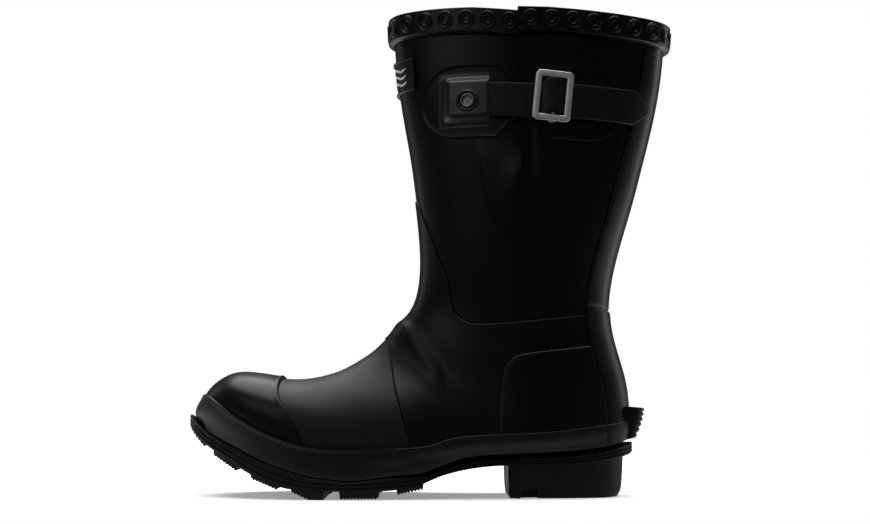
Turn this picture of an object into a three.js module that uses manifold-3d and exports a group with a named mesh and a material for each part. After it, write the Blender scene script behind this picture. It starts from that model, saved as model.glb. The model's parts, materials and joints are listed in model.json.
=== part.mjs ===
// A short rubber rain boot for a left foot, with an adjusting strap and buckle on its outer side.
// Millimetres, +Z up. The origin is the middle of the heel's flat bottom; the toe points along -X
// and the buckle side faces -Y.
import * as THREE from "three";
import { mergeVertices } from "three/addons/utils/BufferGeometryUtils.js";
import Module from "manifold-3d";

const wasm = await Module();
wasm.setup();

// ---------------------------------------------------------------- driving dimensions
const GAP = 0.3; // between bonded pieces
const RUBBER = 2.2; // wall of the upper
const LINING = 0.9; // textile sock
const QUARTER_STEP = 0.8; // the quarter laps over the leg and the vamp by this much
const OVERLAY = 1.1; // toe cap, counters, strips
const FOXING = 1.5; // the band between upper and sole
const PATCH = 1.0; // strap patches and label
const RIM = { height: 14.5, thick: 1.7 };
const PLEATS = 2.4; // the folded gusset
const SLIT = { x: -27.5, width: 1.2, bottom: 198 };
const STRAP = { width: 21.4, thick: 1.8, z: 244.4, slope: -0.035, x0: -46 };
const RIVET = { x: -60.5, z: 243.9, shank: 1.8, head: 4.4, rise: 1.6 };
const WASHER = { radius: 4.2, thick: 1.2 };
const BUCKLE = { x: -7.2, z: 244.3, lean: 6, wide: 22.6, high: 32, bar: 3.1, thick: 1.8, corner: 3.2 };
const PIN = { radius: 1.25, rise: 4.15 };
const LOOP = { thick: 1.0, width: 17.5, end: 16 };
const EAR = { wide: 4.6, thick: 2.4, reach: 2.1 }; // the lugs of the buckle frame that hold its pin
const AROUND = 20; // facets round the boot
// Heights over the skin.
const OVERLAY_FOOT = QUARTER_STEP + GAP; // what lies on the quarter
const FOXING_FACE = OVERLAY_FOOT + FOXING;
const COVER_ROOF = 3 * GAP + PATCH + STRAP.thick + 1.5;
const LINING_FACE = -RUBBER - GAP - LINING;

// The boot's outer skin is drawn through sections that fan round the ankle: level at the rim,
// slanting through the instep and upright at the toe. Each row is a section's front and back point
// in side view, its half width, its sideways shift, where its widest place lies from back (0) to
// front (1), and how square its back and front ends are (2 is an ellipse).
const SECTIONS = [
  // front x, z    back x, z     half  shift widest back  front
  [-107.0, 302.0, 68.0, 298.5, 40.0, 0.0, 0.5, 2.3, 2.2],
  [-105.8, 273.0, 66.0, 270.5, 40.0, 0.0, 0.5, 2.3, 2.2],
  [-101.8, 247.0, 61.6, 246.5, 40.0, 0.0, 0.5, 2.3, 2.2],
  [-97.0, 219.0, 55.2, 219.0, 40.0, 0.0, 0.5, 2.3, 2.2],
  [-93.4, 192.0, 47.6, 191.0, 39.4, 0.0, 0.5, 2.3, 2.2],
  [-91.0, 168.0, 40.0, 166.0, 38.4, 0.0, 0.5, 2.3, 2.2],
  [-90.0, 149.0, 33.6, 143.0, 37.2, 0.0, 0.49, 2.3, 2.2],
  [-91.2, 132.0, 30.0, 120.0, 36.2, 0.0, 0.47, 2.3, 2.2],
  [-96.0, 117.0, 31.4, 101.0, 35.6, 0.0, 0.45, 2.3, 2.15],
  [-104.0, 108.0, 35.6, 84.0, 35.6, 0.0, 0.43, 2.3, 2.1],
  [-110.5, 100.0, 39.6, 67.0, 36.2, 0.0, 0.41, 2.4, 2.1],
  [-116.5, 93.5, 41.8, 50.0, 36.8, 0.0, 0.39, 2.7, 2.1],
  [-122.5, 88.5, 39.0, 34.5, 37.4, -0.5, 0.36, 3.2, 2.1],
  [-129.5, 84.0, 14.0, 29.0, 38.0, -1.0, 0.34, 4.2, 2.1],
  [-138.0, 79.0, -24.0, 27.0, 39.5, -1.5, 0.33, 5.0, 2.15],
  [-148.5, 75.3, -62.0, 24.5, 41.5, -1.5, 0.34, 5.4, 2.2],
  [-161.0, 73.0, -96.0, 15.6, 44.5, -1.0, 0.36, 5.6, 2.2],
  [-174.5, 73.2, -128.0, 11.2, 46.8, 0.5, 0.38, 5.6, 2.25],
  [-186.5, 75.0, -155.0, 12.8, 46.4, 2.5, 0.4, 5.4, 2.3],
  [-197.0, 76.3, -177.0, 19.8, 43.6, 4.5, 0.42, 5.0, 2.35],
  [-206.0, 76.0, -194.0, 26.8, 39.2, 6.0, 0.44, 4.4, 2.4],
  [-214.0, 72.6, -207.0, 33.0, 33.2, 7.2, 0.46, 3.6, 2.4],
  [-220.8, 67.4, -216.6, 38.4, 26.0, 8.0, 0.48, 3.0, 2.3],
  [-226.4, 61.0, -224.4, 44.0, 17.8, 8.6, 0.5, 2.4, 2.2],
  [-229.4, 56.0, -228.8, 48.4, 9.0, 9.0, 0.5, 2.1, 2.1],
  [-230.4, 52.2, -230.4, 52.2, 0.0, 9.0, 0.5, 2.0, 2.0],
];
const TOE_TIP = SECTIONS.length - 1;

// ---------------------------------------------------------------- the skin
// A section between two rows, by a spline through the rows. Past the toe tip the sections turn
// over, so the tip is a smooth dome.
function sectionRow(i) {
  if (i < 0) return SECTIONS[0].map((v, k) => 2 * v - SECTIONS[-i][k]);
  if (i <= TOE_TIP) return SECTIONS[i];
  const [fx, fz, bx, bz, half, ...rest] = SECTIONS[2 * TOE_TIP - i];
  return [bx, bz, fx, fz, -half, ...rest];
}

function sectionAt(t) {
  const i = Math.min(Math.floor(t), TOE_TIP - 1);
  const u = t - i;
  const [a, b, c, d] = [i - 1, i, i + 1, i + 2].map(sectionRow);
  return b.map((_, k) => {
    const cubic = (3 * (b[k] - c[k]) + d[k] - a[k]) * u;
    return b[k] + 0.5 * u * (c[k] - a[k] + u * (2 * a[k] - 5 * b[k] + 4 * c[k] - d[k] + cubic));
  });
}

// The half width at a share of the way from a section's back (0) to its front (1).
function halfWidth([, , , , half, , widest, squareBack, squareFront], share) {
  const behind = share < widest;
  const away = behind ? (widest - share) / widest : (share - widest) / (1 - widest);
  const square = behind ? squareBack : squareFront;
  return half * (1 - Math.min(away, 1) ** square) ** (1 / square);
}

// angle 0 is the section's front, 90 degrees its outer side (-Y), 180 its back.
function bareSkin(t, angle) {
  const [fx, fz, bx, bz, half, shift, widest, squareBack, squareFront] = sectionAt(t);
  const [c, s] = [Math.cos(angle), Math.sin(angle)];
  const power = 2 / (c > 0 ? squareFront : squareBack);
  const along = Math.abs(c) ** power;
  const share = c > 0 ? widest + (1 - widest) * along : widest * (1 - along);
  const y = shift - half * Math.sign(s) * Math.abs(s) ** power;
  return new THREE.Vector3(bx + (fx - bx) * share, y, bz + (fz - bz) * share);
}

function skinPoint(t, angle, offset) {
  const step = 0.02;
  if (t >= TOE_TIP) return bareSkin(t, angle).add(new THREE.Vector3(-offset, 0, 0));
  const alongT = bareSkin(t + step, angle).sub(bareSkin(t - step, angle));
  const alongA = bareSkin(t, angle + step).sub(bareSkin(t, angle - step));
  return bareSkin(t, angle).add(alongT.cross(alongA).normalize().multiplyScalar(offset));
}

// The outer side's skin as a depth over the side view: the point over (x, z), moved out by offset.
function sidePoint(x, z, offset = 0) {
  const bare = (px, pz) => {
    let [low, high] = [-1, TOE_TIP - 1];
    for (let k = 0; k < 40; k++) {
      const mid = (low + high) / 2;
      const [fx, fz, bx, bz] = sectionAt(mid);
      const side = (fx - bx) * (pz - bz) - (fz - bz) * (px - bx);
      if (side < 0) high = mid;
      else low = mid;
    }
    const row = sectionAt(low);
    const [fx, fz, bx, bz] = row;
    const share = ((px - bx) * (fx - bx) + (pz - bz) * (fz - bz)) / ((fx - bx) ** 2 + (fz - bz) ** 2);
    return new THREE.Vector3(px, row[5] - halfWidth(row, share), pz);
  };
  const step = 0.5;
  const alongX = bare(x + step, z).sub(bare(x - step, z));
  const alongZ = bare(x, z + step).sub(bare(x, z - step));
  return bare(x, z).add(alongX.cross(alongZ).normalize().multiplyScalar(offset));
}

// ---------------------------------------------------------------- solids
function solid(geometry) {
  const bare = geometry.index ? geometry.toNonIndexed() : geometry.clone();
  const merged = mergeVertices(
    new THREE.BufferGeometry().setAttribute("position", bare.getAttribute("position")),
    1e-4,
  );
  const index = merged.index.array;
  const kept = [];
  for (let i = 0; i < index.length; i += 3) {
    const [a, b, c] = [index[i], index[i + 1], index[i + 2]];
    if (a !== b && b !== c && c !== a) kept.push(a, b, c);
  }
  return new wasm.Manifold(
    new wasm.Mesh({
      numProp: 3,
      vertProperties: new Float32Array(merged.attributes.position.array),
      triVerts: new Uint32Array(kept),
    }),
  );
}

function geometryOf(made) {
  const mesh = made.getMesh();
  return new THREE.BufferGeometry()
    .setAttribute("position", new THREE.BufferAttribute(new Float32Array(mesh.vertProperties), 3))
    .setIndex(new THREE.BufferAttribute(new Uint32Array(mesh.triVerts), 1))
    .toNonIndexed();
}

// A closed surface from rings of points, each ring joined to the next. Without loop, the first and
// last rings are filled as flat ends. From the ring numbered turned, the facets' diagonals lie the
// other way, so that the two faces of a wall match.
function fromRings(rings, loop, turned = rings.length) {
  const corners = [];
  const face = (...points) => points.forEach((p) => corners.push(p.x, p.y, p.z));
  const last = loop ? rings.length : rings.length - 1;
  for (let i = 0; i < last; i++) {
    const [here, next] = [rings[i], rings[(i + 1) % rings.length]];
    here.forEach((a, j) => {
      const b = here[(j + 1) % here.length];
      const [c, d] = [next[(j + 1) % here.length], next[j]];
      face(a, b, i < turned ? c : d);
      face(i < turned ? a : b, c, d);
    });
  }
  if (!loop) {
    const [first, end] = [rings[0], rings[rings.length - 1]];
    for (let j = 1; j < first.length - 1; j++) {
      face(first[0], first[j + 1], first[j]);
      face(end[0], end[j], end[j + 1]);
    }
  }
  const made = new THREE.BufferGeometry();
  made.setAttribute("position", new THREE.Float32BufferAttribute(corners, 3));
  return made;
}

// A ring of skin points at station t.
function skinRing(t, offset) {
  return Array.from({ length: AROUND }, (_, j) => skinPoint(t, (-2 * Math.PI * j) / AROUND, offset));
}

// Stations from t0 to t1, by whole steps.
function stationsBetween(t0, t1) {
  const whole = Array.from({ length: TOE_TIP }, (_, t) => t);
  return [t0, ...whole.filter((t) => t > t0 + 0.2 && t < t1 - 0.2), t1];
}

// The closed wall of skin between two stations and two offsets.
function skinWall(t0, t1, inner, outer) {
  const stations = stationsBetween(t0, t1);
  const rings = stations.map((t) => skinRing(t, outer));
  stations.reverse().forEach((t) => rings.push(skinRing(t, inner)));
  return solid(fromRings(rings, true, stations.length));
}

// The filled body inside an offset of the skin.
function skinBody(t0, t1, offset) {
  return solid(fromRings(stationsBetween(t0, t1).map((t) => skinRing(t, offset)), false));
}

const points2 = (pairs) => pairs.map(([x, z]) => new THREE.Vector2(x, z));
// A smooth line through points, as pairs.
const smooth = (pairs, steps) =>
  new THREE.SplineCurve(points2(pairs)).getPoints(steps).map((p) => [p.x, p.y]);
const moved = (pairs, dx, dz) => pairs.map(([x, z]) => [x + dx, z + dz]);

// A side-view outline carried through from y0 to y1.
function sidePrism(outline, y0 = -80, y1 = 80) {
  const made = new THREE.ExtrudeGeometry(new THREE.Shape(points2(outline)), {
    depth: y1 - y0,
    bevelEnabled: false,
  });
  return solid(made.rotateX(Math.PI / 2).translate(0, y1, 0));
}

// A top-view outline carried up from z0 to z1.
function planPrism(outline, z0, z1) {
  const made = new THREE.ExtrudeGeometry(new THREE.Shape(points2(outline)), {
    depth: z1 - z0,
    bevelEnabled: false,
  });
  return solid(made.translate(0, 0, z0));
}

// A strip that lies on the boot's outer side: rows of [x, low z, high z], and the offsets of its
// inner and outer face at each x.
function sideStrip(rows, innerAt, outerAt) {
  const across = 2;
  const rings = rows.map(([x, low, high]) => {
    const zs = Array.from({ length: across + 1 }, (_, k) => low + ((high - low) * k) / across);
    const outer = zs.map((z) => sidePoint(x, z, outerAt(x)));
    const inner = zs.map((z) => sidePoint(x, z, innerAt(x)));
    return [...outer.reverse(), ...inner];
  });
  return solid(fromRings(rings, false));
}

// A function that runs smoothly through [x, value] pairs, level past its ends.
function through(pairs) {
  return (x) => {
    const k = pairs.findIndex(([at]) => at > x);
    if (k < 0) return pairs[pairs.length - 1][1];
    if (k === 0) return pairs[0][1];
    const [[x0, v0], [x1, v1]] = [pairs[k - 1], pairs[k]];
    return THREE.MathUtils.lerp(v0, v1, THREE.MathUtils.smoothstep(x, x0, x1));
  };
}

// ---------------------------------------------------------------- lines of the side view
// Where the quarter's top edge crosses the leg: a tongue up the front, then level to the back.
const LEG_EDGE = smooth(
  [[-120, 196], [-94, 189], [-86.5, 172], [-79, 151], [-72.5, 134], [-69, 116], [-62, 108.4],
    [-50, 106.2], [-20, 108.4], [14, 112.2], [60, 117]],
  30,
);
// Where the quarter laps over the vamp, from instep to sole.
const INSTEP_LINE = smooth(
  [[-122, 112], [-111, 96], [-107.6, 82], [-104.6, 66], [-98.5, 45], [-95, 30], [-94, -5]],
  12,
);
// The foxing's top edge and the line where the upper meets the sole, from toe to heel.
const FOXING_TOP = smooth(
  [[-245, 74], [-232, 66], [-219, 62.5], [-202, 50], [-181, 39], [-159, 31.6], [-136, 29.6],
    [-102, 30.6], [-84, 32.2],
    [-70, 36.6], [-52, 38.4], [-11, 40.4], [24, 44.6], [60, 49.5]],
  30,
);
const SOLE_LINE = smooth(
  [[-245, 68], [-232, 53], [-216, 38.8], [-204, 33], [-178, 20], [-153, 12], [-128, 10.8], [-106, 13.8],
    [-88, 15.8], [-74, 21], [-60, 25], [-40, 26.6], [-5, 28.2], [20, 30.8], [33, 34],
    [42, 36.4], [60, 40.5]],
  28,
);
// The top of the outsole: below the sole line by the midsole's thickness, which thins to the toe.
const MIDSOLE_INSET = 3.2;
const midsoleAt = through([[-130, 0.8], [-70, 3]]);
const OUTSOLE_TOP = SOLE_LINE.map(([x, z]) => [x, z - midsoleAt(x)]);
const between = (low, high) => [...low, ...[...high].reverse()];
const [FAR, HIGH, DEEP] = [260, 340, -40];

// ---------------------------------------------------------------- upper
const slitCut = () =>
  sidePrism(
    [[SLIT.x - SLIT.width / 2, SLIT.bottom], [SLIT.x + SLIT.width / 2, SLIT.bottom],
      [SLIT.x + SLIT.width / 2, HIGH], [SLIT.x - SLIT.width / 2, HIGH]],
    -80,
    0,
  );

// The rivet's axis: its seat on the skin and the direction out.
const rivetSeat = sidePoint(RIVET.x, RIVET.z);
const rivetOut = sidePoint(RIVET.x, RIVET.z, 1).sub(rivetSeat).normalize();

// A round bar along the rivet's axis, between two heights over the skin.
function rivetBar(radius, from, to, sides = 20) {
  const middle = (from + to) / 2;
  const made = new THREE.CylinderGeometry(radius, radius, to - from, sides).translate(0, middle, 0);
  made.applyQuaternion(new THREE.Quaternion().setFromUnitVectors(new THREE.Vector3(0, 1, 0), rivetOut));
  return solid(made.translate(...rivetSeat));
}

const rivetHole = () => rivetBar(RIVET.shank + GAP, -9, 12);

// The top of the wall and lining, just under the rim band's cap.
const WALL_TOP = 0.055;

function legShell() {
  const above = sidePrism([...moved(LEG_EDGE, 0, GAP), [FAR, HIGH], [-FAR, HIGH]]);
  return skinWall(WALL_TOP, 9, -RUBBER, 0).intersect(above).subtract(slitCut()).subtract(rivetHole());
}

function quarterShell() {
  const below = sidePrism([...LEG_EDGE, [FAR, DEEP], [-FAR, DEEP]]);
  const behind = sidePrism([...moved(INSTEP_LINE, GAP / 2, 0), [FAR, DEEP], [FAR, HIGH], [-130, HIGH]]);
  return skinWall(3, 16, -RUBBER, QUARTER_STEP).intersect(below).intersect(behind);
}

function vampShell() {
  const ahead = sidePrism([...moved(INSTEP_LINE, -GAP / 2, 0), [-FAR, DEEP], [-FAR, 120]]);
  return skinWall(9, TOE_TIP, -RUBBER, 0).intersect(ahead);
}

function sockLining() {
  const outer = -RUBBER - GAP;
  return skinWall(WALL_TOP, TOE_TIP, outer - LINING, outer).subtract(slitCut()).subtract(rivetHole());
}

// Above the foxing line, over the toe.
function toeCap() {
  const edge = smooth([[-172, 82], [-179.6, 68], [-179.8, 61], [-171, 47], [-159.5, 32], [-152, 20]], 12);
  const front = sidePrism([...edge, [-FAR, 20], [-FAR, 82]]);
  const above = sidePrism([...moved(FOXING_TOP, 0, GAP), [FAR, HIGH], [-FAR, HIGH]]);
  return skinWall(15, TOE_TIP, GAP, GAP + OVERLAY).intersect(front).intersect(above);
}

// The edges of the strips up the boot's back, in side view, from the rim down to the sole.
const BACK_EDGE = smooth(
  [[54.5, 312], [51.5, 270], [41, 225], [28, 178], [17.5, 143], [13, 116], [15, 92],
    [23.4, 63], [25.4, 20]],
  24,
);

function heelCounter(side) {
  const outline = [
    ...smooth(
      [[-41.6, 20], [-41.4, 52], [-40.2, 68], [-38, 78.5], [-32, 85.6], [-22, 88.2], [-4, 90.3],
        [30, 94.6]],
      18,
    ),
    [FAR, 94.6],
    [FAR, 20],
  ];
  const [y0, y1] = side < 0 ? [-80, 0] : [0, 80];
  return skinWall(8, 15, OVERLAY_FOOT, OVERLAY_FOOT + OVERLAY)
    .intersect(sidePrism(outline, y0, y1))
    .intersect(sidePrism([...moved(FOXING_TOP, 0, GAP), [FAR, HIGH], [-FAR, HIGH]]))
    .subtract(sidePrism([...moved(BACK_EDGE, -GAP, 0), [FAR, 20], [FAR, HIGH]]));
}

const behindEdge = () => sidePrism([...BACK_EDGE, [FAR, 20], [FAR, 312]]);
const STRIP_JOINT = { low: 113, high: 116.5 }; // the heel strip's top and the back strip's foot
const STRIP_TOP = 286.8; // under the rim band

function backStrip() {
  const { high } = STRIP_JOINT;
  const span = sidePrism([[-FAR, high], [FAR, high], [FAR, STRIP_TOP], [-FAR, STRIP_TOP]]);
  return skinWall(1, 8, GAP, GAP + OVERLAY).intersect(behindEdge()).intersect(span);
}

function heelStrip() {
  const { low } = STRIP_JOINT;
  const span = sidePrism([...moved(FOXING_TOP, 0, GAP), [FAR, low], [-FAR, low]]);
  const strip = skinWall(6, 14, OVERLAY_FOOT, OVERLAY_FOOT + OVERLAY);
  return strip.intersect(behindEdge()).intersect(span);
}

function foxingBand() {
  const strip = sidePrism(between(moved(SOLE_LINE, 0, GAP / 2), FOXING_TOP));
  return skinWall(9, TOE_TIP, OVERLAY_FOOT, FOXING_FACE).intersect(strip);
}

// ---------------------------------------------------------------- sole
// The outsole from above: heel, outer edge, toe, inner edge.
const SOLE_PLAN = smooth(
  [[45.2, 0], [42, -16], [30, -29], [8, -35], [-25, -36.5], [-60, -38.5], [-95, -45], [-130, -50.4],
    [-160, -48.6], [-188, -40], [-212, -25.5], [-228, -9], [-234.8, 9], [-231, 25], [-218, 39], [-196, 48.5],
    [-165, 51.6], [-135, 48], [-100, 38], [-60, 33], [-25, 33.6], [8, 34], [30, 29], [42, 16]],
  48,
).slice(0, -1);
// The same outline drawn in towards the foot's own middle line.
function drawnIn(by) {
  const count = SOLE_PLAN.length;
  return SOLE_PLAN.map(([x, y], i) => {
    const [beforeX, beforeY] = SOLE_PLAN[(i + count - 1) % count];
    const [afterX, afterY] = SOLE_PLAN[(i + 1) % count];
    const [alongX, alongY] = [afterX - beforeX, afterY - beforeY];
    const length = Math.hypot(alongX, alongY);
    return [x + (alongY / length) * by, y - (alongX / length) * by];
  });
}

const TREAD_Z = 4.4; // the plate's height over the floor between the lugs
const LUG_DRAFT = 1.5;
// Lugs across the whole sole: each is [front x, back x, drop below the outsole's plate].
const LUGS = [
  [-233, -221, 3.6], [-216, -203.5, 4.2], [-199, -187, 4.2], [-182, -162, 4.4], [-158, -143, 4.4],
  [-138, -112, 4.4], [-107, -86, 4.4],
];

// The underside of the outsole's plate, without lugs.
const PLATE_UNDER = smooth(
  [[-236, 40], [-226, 31.6], [-212, 25], [-196, 17.2], [-180, 11], [-162, 6.4], [-145, 4.6],
    [-120, TREAD_Z], [-104, 5.2], [-90, 8.2], [-76, 13.8], [-60, 17.6], [-42, 19.6], [-20, 19.8],
    [10, 20.8], [38, 25.6], [46, 31]],
  32,
);

function underAt(x) {
  const k = PLATE_UNDER.findIndex(([at]) => at > x);
  const [[ax, az], [bx, bz]] = [PLATE_UNDER[k - 1], PLATE_UNDER[k]];
  return THREE.MathUtils.mapLinear(x, ax, bx, az, bz);
}

// A lug keeps the plate's curve on its foot, and is drafted at its front and back.
function lug([x0, x1, drop]) {
  const across = (from, to, rise) =>
    [0, 1 / 3, 2 / 3, 1].map((share) => {
      const x = THREE.MathUtils.lerp(from, to, share);
      return [x, Math.max(underAt(x) + rise, 0)];
    });
  return sidePrism(between(across(x0 + LUG_DRAFT, x1 - LUG_DRAFT, -drop), across(x0, x1, 2)));
}

function outsole() {
  const plate = sidePrism(between(PLATE_UNDER, moved(OUTSOLE_TOP.filter(([x]) => x < 46), 0, -GAP / 2)));
  const lifted = LUGS.reduce((whole, row) => whole.add(lug(row)), plate);
  return lifted.intersect(planPrism(SOLE_PLAN, DEEP, 90)).subtract(skinBody(8, TOE_TIP, FOXING_FACE + GAP));
}

function midsole() {
  const strip = sidePrism(between(moved(OUTSOLE_TOP, 0, GAP / 2), moved(SOLE_LINE, 0, -GAP / 2)));
  const plan = planPrism(drawnIn(MIDSOLE_INSET), 5, 90);
  return strip.intersect(plan).subtract(skinBody(8, TOE_TIP, OVERLAY_FOOT));
}

const HEEL_PLAN = smooth(
  [[38, 0], [35, -14], [24, -26], [5, -31.5], [-18, -32.5], [-36, -31], [-36, 29], [-18, 30], [5, 30],
    [24, 26], [35, 14]],
  40,
).slice(0, -1);
const TOP_PIECE = 6; // the heel's wearing lift

function heelPart(z0, z1) {
  const sides = sidePrism(
    [[-34.6, 0], [-36.4, 8], [-36, 17.5], [-36, 40], [38.5, 40], [37.8, 22], [35.4, 4], [33.6, 0]],
  );
  const under = sidePrism([...moved(PLATE_UNDER, 0, -GAP), [FAR, DEEP], [-FAR, DEEP]]);
  return planPrism(HEEL_PLAN, z0, z1).intersect(sides).intersect(under);
}

// A small block that helps to push the boot off, behind the heel.
function heelSpur() {
  const side = [[34, 58.5], [42.4, 56.4], [51.3, 55.6], [51, 52], [48.2, 42], [45.6, 38.2], [34, 38.2]];
  return sidePrism(side, -19, 19).subtract(skinBody(7, 16, FOXING_FACE + GAP));
}

// ---------------------------------------------------------------- inside
// A layer on the foot's floor, between two heights over the inner bottom of the lining.
function floorLayer(from, to, x0, x1) {
  const inside = LINING_FACE - GAP;
  const floor = SOLE_LINE.filter(([x]) => x > -232 && x < 44).map(([x, z]) => [x, z - inside]);
  const strip = sidePrism(between(moved(floor, 0, from), moved(floor, 0, to)));
  const span = sidePrism([[x0, 0], [x1, 0], [x1, 80], [x0, 80]]);
  return skinBody(9, TOE_TIP, inside).intersect(strip).intersect(span);
}

const BOARD_TOP = 2.6;
const insoleBoard = () => floorLayer(-2, BOARD_TOP, -218, 36).subtract(shankBar(GAP));
const footbed = () => floorLayer(BOARD_TOP + GAP, BOARD_TOP + 4, -216, 36);

// The steel shank bridges the arch, let into the insole board's underside.
const SHANK = { x0: -70, x1: 14, width: 15, thick: 1.4, rise: 4.6 };
function shankBar(grow) {
  const line = moved(SOLE_LINE.filter(([x]) => x > SHANK.x0 - 6 && x < SHANK.x1 + 6), 0, SHANK.rise);
  const [high, wide] = [SHANK.thick / 2 + grow, SHANK.width / 2 + grow];
  const [x0, x1] = [SHANK.x0 - grow, SHANK.x1 + grow];
  const bar = sidePrism(between(moved(line, 0, -high), moved(line, 0, high)), -wide, wide);
  return bar.intersect(sidePrism([[x0, 0], [x1, 0], [x1, 60], [x0, 60]]));
}

// The pleated panel behind the slit, folded flat against the lining.
function gussetPanel() {
  const inside = LINING_FACE - GAP;
  const outline = smooth(
    [[-51, 290], [-51, 230], [-50, 194], [-44, 173], [-26, 162], [-8, 173], [-1, 194], [-1, 230],
      [-1, 290]],
    20,
  );
  const folds = skinWall(WALL_TOP, 7, inside - PLEATS, inside);
  return folds.intersect(sidePrism(outline, -80, 0)).subtract(rivetHole());
}

// ---------------------------------------------------------------- rim and label
const RIM_SECTION = 30; // about the height of the first section
function rimBand() {
  const depth = RIM.height / RIM_SECTION;
  const face = GAP + RIM.thick;
  const under = WALL_TOP - 0.01;
  const section = [
    [depth, GAP], [depth, face], [0, face], [0, LINING_FACE], [under, LINING_FACE], [under, GAP],
  ];
  const rings = section.reverse().map(([t, offset]) => skinRing(t, offset));
  return solid(fromRings(rings, true)).subtract(slitCut());
}

const LABEL = { x: -92.8, low: 247.5, high: 269, border: 2 };
function labelPart(grow, inner, outer) {
  const outline = [
    [-FAR, LABEL.low - grow], [LABEL.x + grow, LABEL.low + 2 - grow],
    [LABEL.x - 1.2 + grow, LABEL.high + 2 + grow], [-FAR, LABEL.high + grow],
  ];
  return skinWall(0.7, 3, inner, outer).intersect(sidePrism(outline));
}
const labelPlate = () => labelPart(-LABEL.border, GAP, GAP + PATCH);
const labelFrame = () =>
  labelPart(0, GAP, GAP + PATCH + 0.4).subtract(labelPart(-LABEL.border + GAP, 0, 6));

// ---------------------------------------------------------------- strap and buckle
const strapZ = (x) => STRAP.z + STRAP.slope * (x - STRAP.x0);

function patch(outline) {
  return skinWall(0.7, 4, GAP, GAP + PATCH).intersect(sidePrism(outline, -80, 0)).subtract(rivetHole());
}

function strapPatchFront() {
  const [middle, reach] = [243.6, 22.2];
  const round = Array.from({ length: 13 }, (_, k) => {
    const a = Math.PI / 2 + (Math.PI * k) / 12;
    return [-66 + 22 * Math.cos(a), middle + reach * Math.sin(a)];
  });
  const tongue = 13;
  const square = [
    [-42.2, middle - reach], [-34.4, middle - tongue], [-30, middle - tongue],
    [-30, middle + tongue], [-34.4, middle + tongue], [-42, middle + reach],
  ];
  return patch([...round, ...square].reverse());
}

function strapPatchRear() {
  const middle = 242.8;
  const low = smooth([[-10.5, 219.6], [4, 218.9], [18, 219.4], [27, 223.4], [33, 231.5]], 10);
  const high = smooth(
    [[34.6, 247], [32.6, 254.4], [27.5, 259.6], [20, 262.2], [6, 264.2], [-8.2, 265.6]],
    10,
  );
  const foot = [[-26.2, middle - 12.6], [-18.8, middle - 12.6]];
  return patch([...foot, ...low, ...high, [-16, middle + 15], [-26.2, middle + 15]]);
}

// How far the strap's middle plane stands off the skin: low in its cover, over the pin, and low
// again along its free end.
const strapRise = through([
  [-60, 2.6], [-40, 2.7], [BUCKLE.x - 9, 3.6], [BUCKLE.x - 1.2, 7.9], [BUCKLE.x + 1.2, 7.9],
  [BUCKLE.x + 7.4, 4.9], [BUCKLE.x + 20, 4.6], [28, 3.0], [48, 2.4],
]);
const STRAP_SPLIT = BUCKLE.x + BUCKLE.wide / 2 + 2.6;

function strapLength(x0, x1, count) {
  const rows = Array.from({ length: count + 1 }, (_, k) => {
    const x = x0 + ((x1 - x0) * k) / count;
    return [x, strapZ(x) - STRAP.width / 2, strapZ(x) + STRAP.width / 2];
  });
  const half = STRAP.thick / 2;
  return sideStrip(rows, (x) => strapRise(x) - half, (x) => strapRise(x) + half);
}

const strap = () => strapLength(-68, STRAP_SPLIT - GAP, 32).subtract(rivetHole());

const STRAP_TIP = 51.2;
function strapEnd() {
  const point = smooth([[39.4, 229.4], [47, 235], [51, 239.9], [49.4, 245], [44.8, 249.6]], 8);
  const tip = sidePrism([[0, 210], [39.4, 210], ...point, [44.8, 270], [0, 270]], -80, 0);
  return strapLength(STRAP_SPLIT, STRAP_TIP, 12).intersect(tip);
}

// The raised cover that holds the strap's end under the rivet.
function strapCover() {
  const [x0, x1] = [-72, -46.4];
  const [low, high] = [229, 260];
  const slope = 7;
  const rows = Array.from({ length: 9 }, (_, k) => x0 + ((x1 - x0) * k) / 8);
  const floor = 2 * GAP + PATCH;
  const rings = rows.map((x, k) => {
    const rise = k === 0 ? floor + 0.9 : COVER_ROOF;
    const edge = floor + 0.5;
    const across = [
      [low, floor], [high, floor], [high, edge], [high - slope, rise], [low + slope, rise], [low, edge],
    ];
    return across.map(([z, offset]) => sidePoint(x, z, offset));
  });
  const reach = STRAP.width / 2 + 0.4;
  const along = Array.from({ length: 8 }, (_, k) => THREE.MathUtils.lerp(x0 + 3, x1 + 2, k / 7));
  const channel = sideStrip(
    along.map((x) => [x, strapZ(x) - reach, strapZ(x) + reach]),
    () => 0.5,
    () => strapRise(-60) + STRAP.thick / 2 + GAP,
  );
  return solid(fromRings(rings, false)).subtract(channel).subtract(rivetHole());
}

function rivetStud() {
  const seat = COVER_ROOF + GAP;
  const top = seat + RIVET.rise;
  const profile = [
    [0, -8], [RIVET.shank, -8], [RIVET.shank, seat], [RIVET.head, seat], [RIVET.head, seat + 0.7],
    [RIVET.head - 0.9, top], [0, top],
  ];
  const made = new THREE.LatheGeometry(points2(profile), 20);
  made.applyQuaternion(new THREE.Quaternion().setFromUnitVectors(new THREE.Vector3(0, 1, 0), rivetOut));
  return solid(made.translate(...rivetSeat));
}

function rivetWasher() {
  const seat = LINING_FACE - 2 * GAP - PLEATS;
  return rivetBar(WASHER.radius, seat - WASHER.thick, seat).subtract(rivetHole());
}

// The buckle's own frame: its pin stands on the skin, leaning with the buckle.
const buckleSeat = sidePoint(BUCKLE.x, BUCKLE.z);
const buckleOut = sidePoint(BUCKLE.x, BUCKLE.z, 1).sub(buckleSeat).normalize();
const lean = THREE.MathUtils.degToRad(BUCKLE.lean);
const buckleUp = new THREE.Vector3(Math.sin(lean), 0, Math.cos(lean));
buckleUp.addScaledVector(buckleOut, -buckleUp.dot(buckleOut)).normalize();
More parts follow.
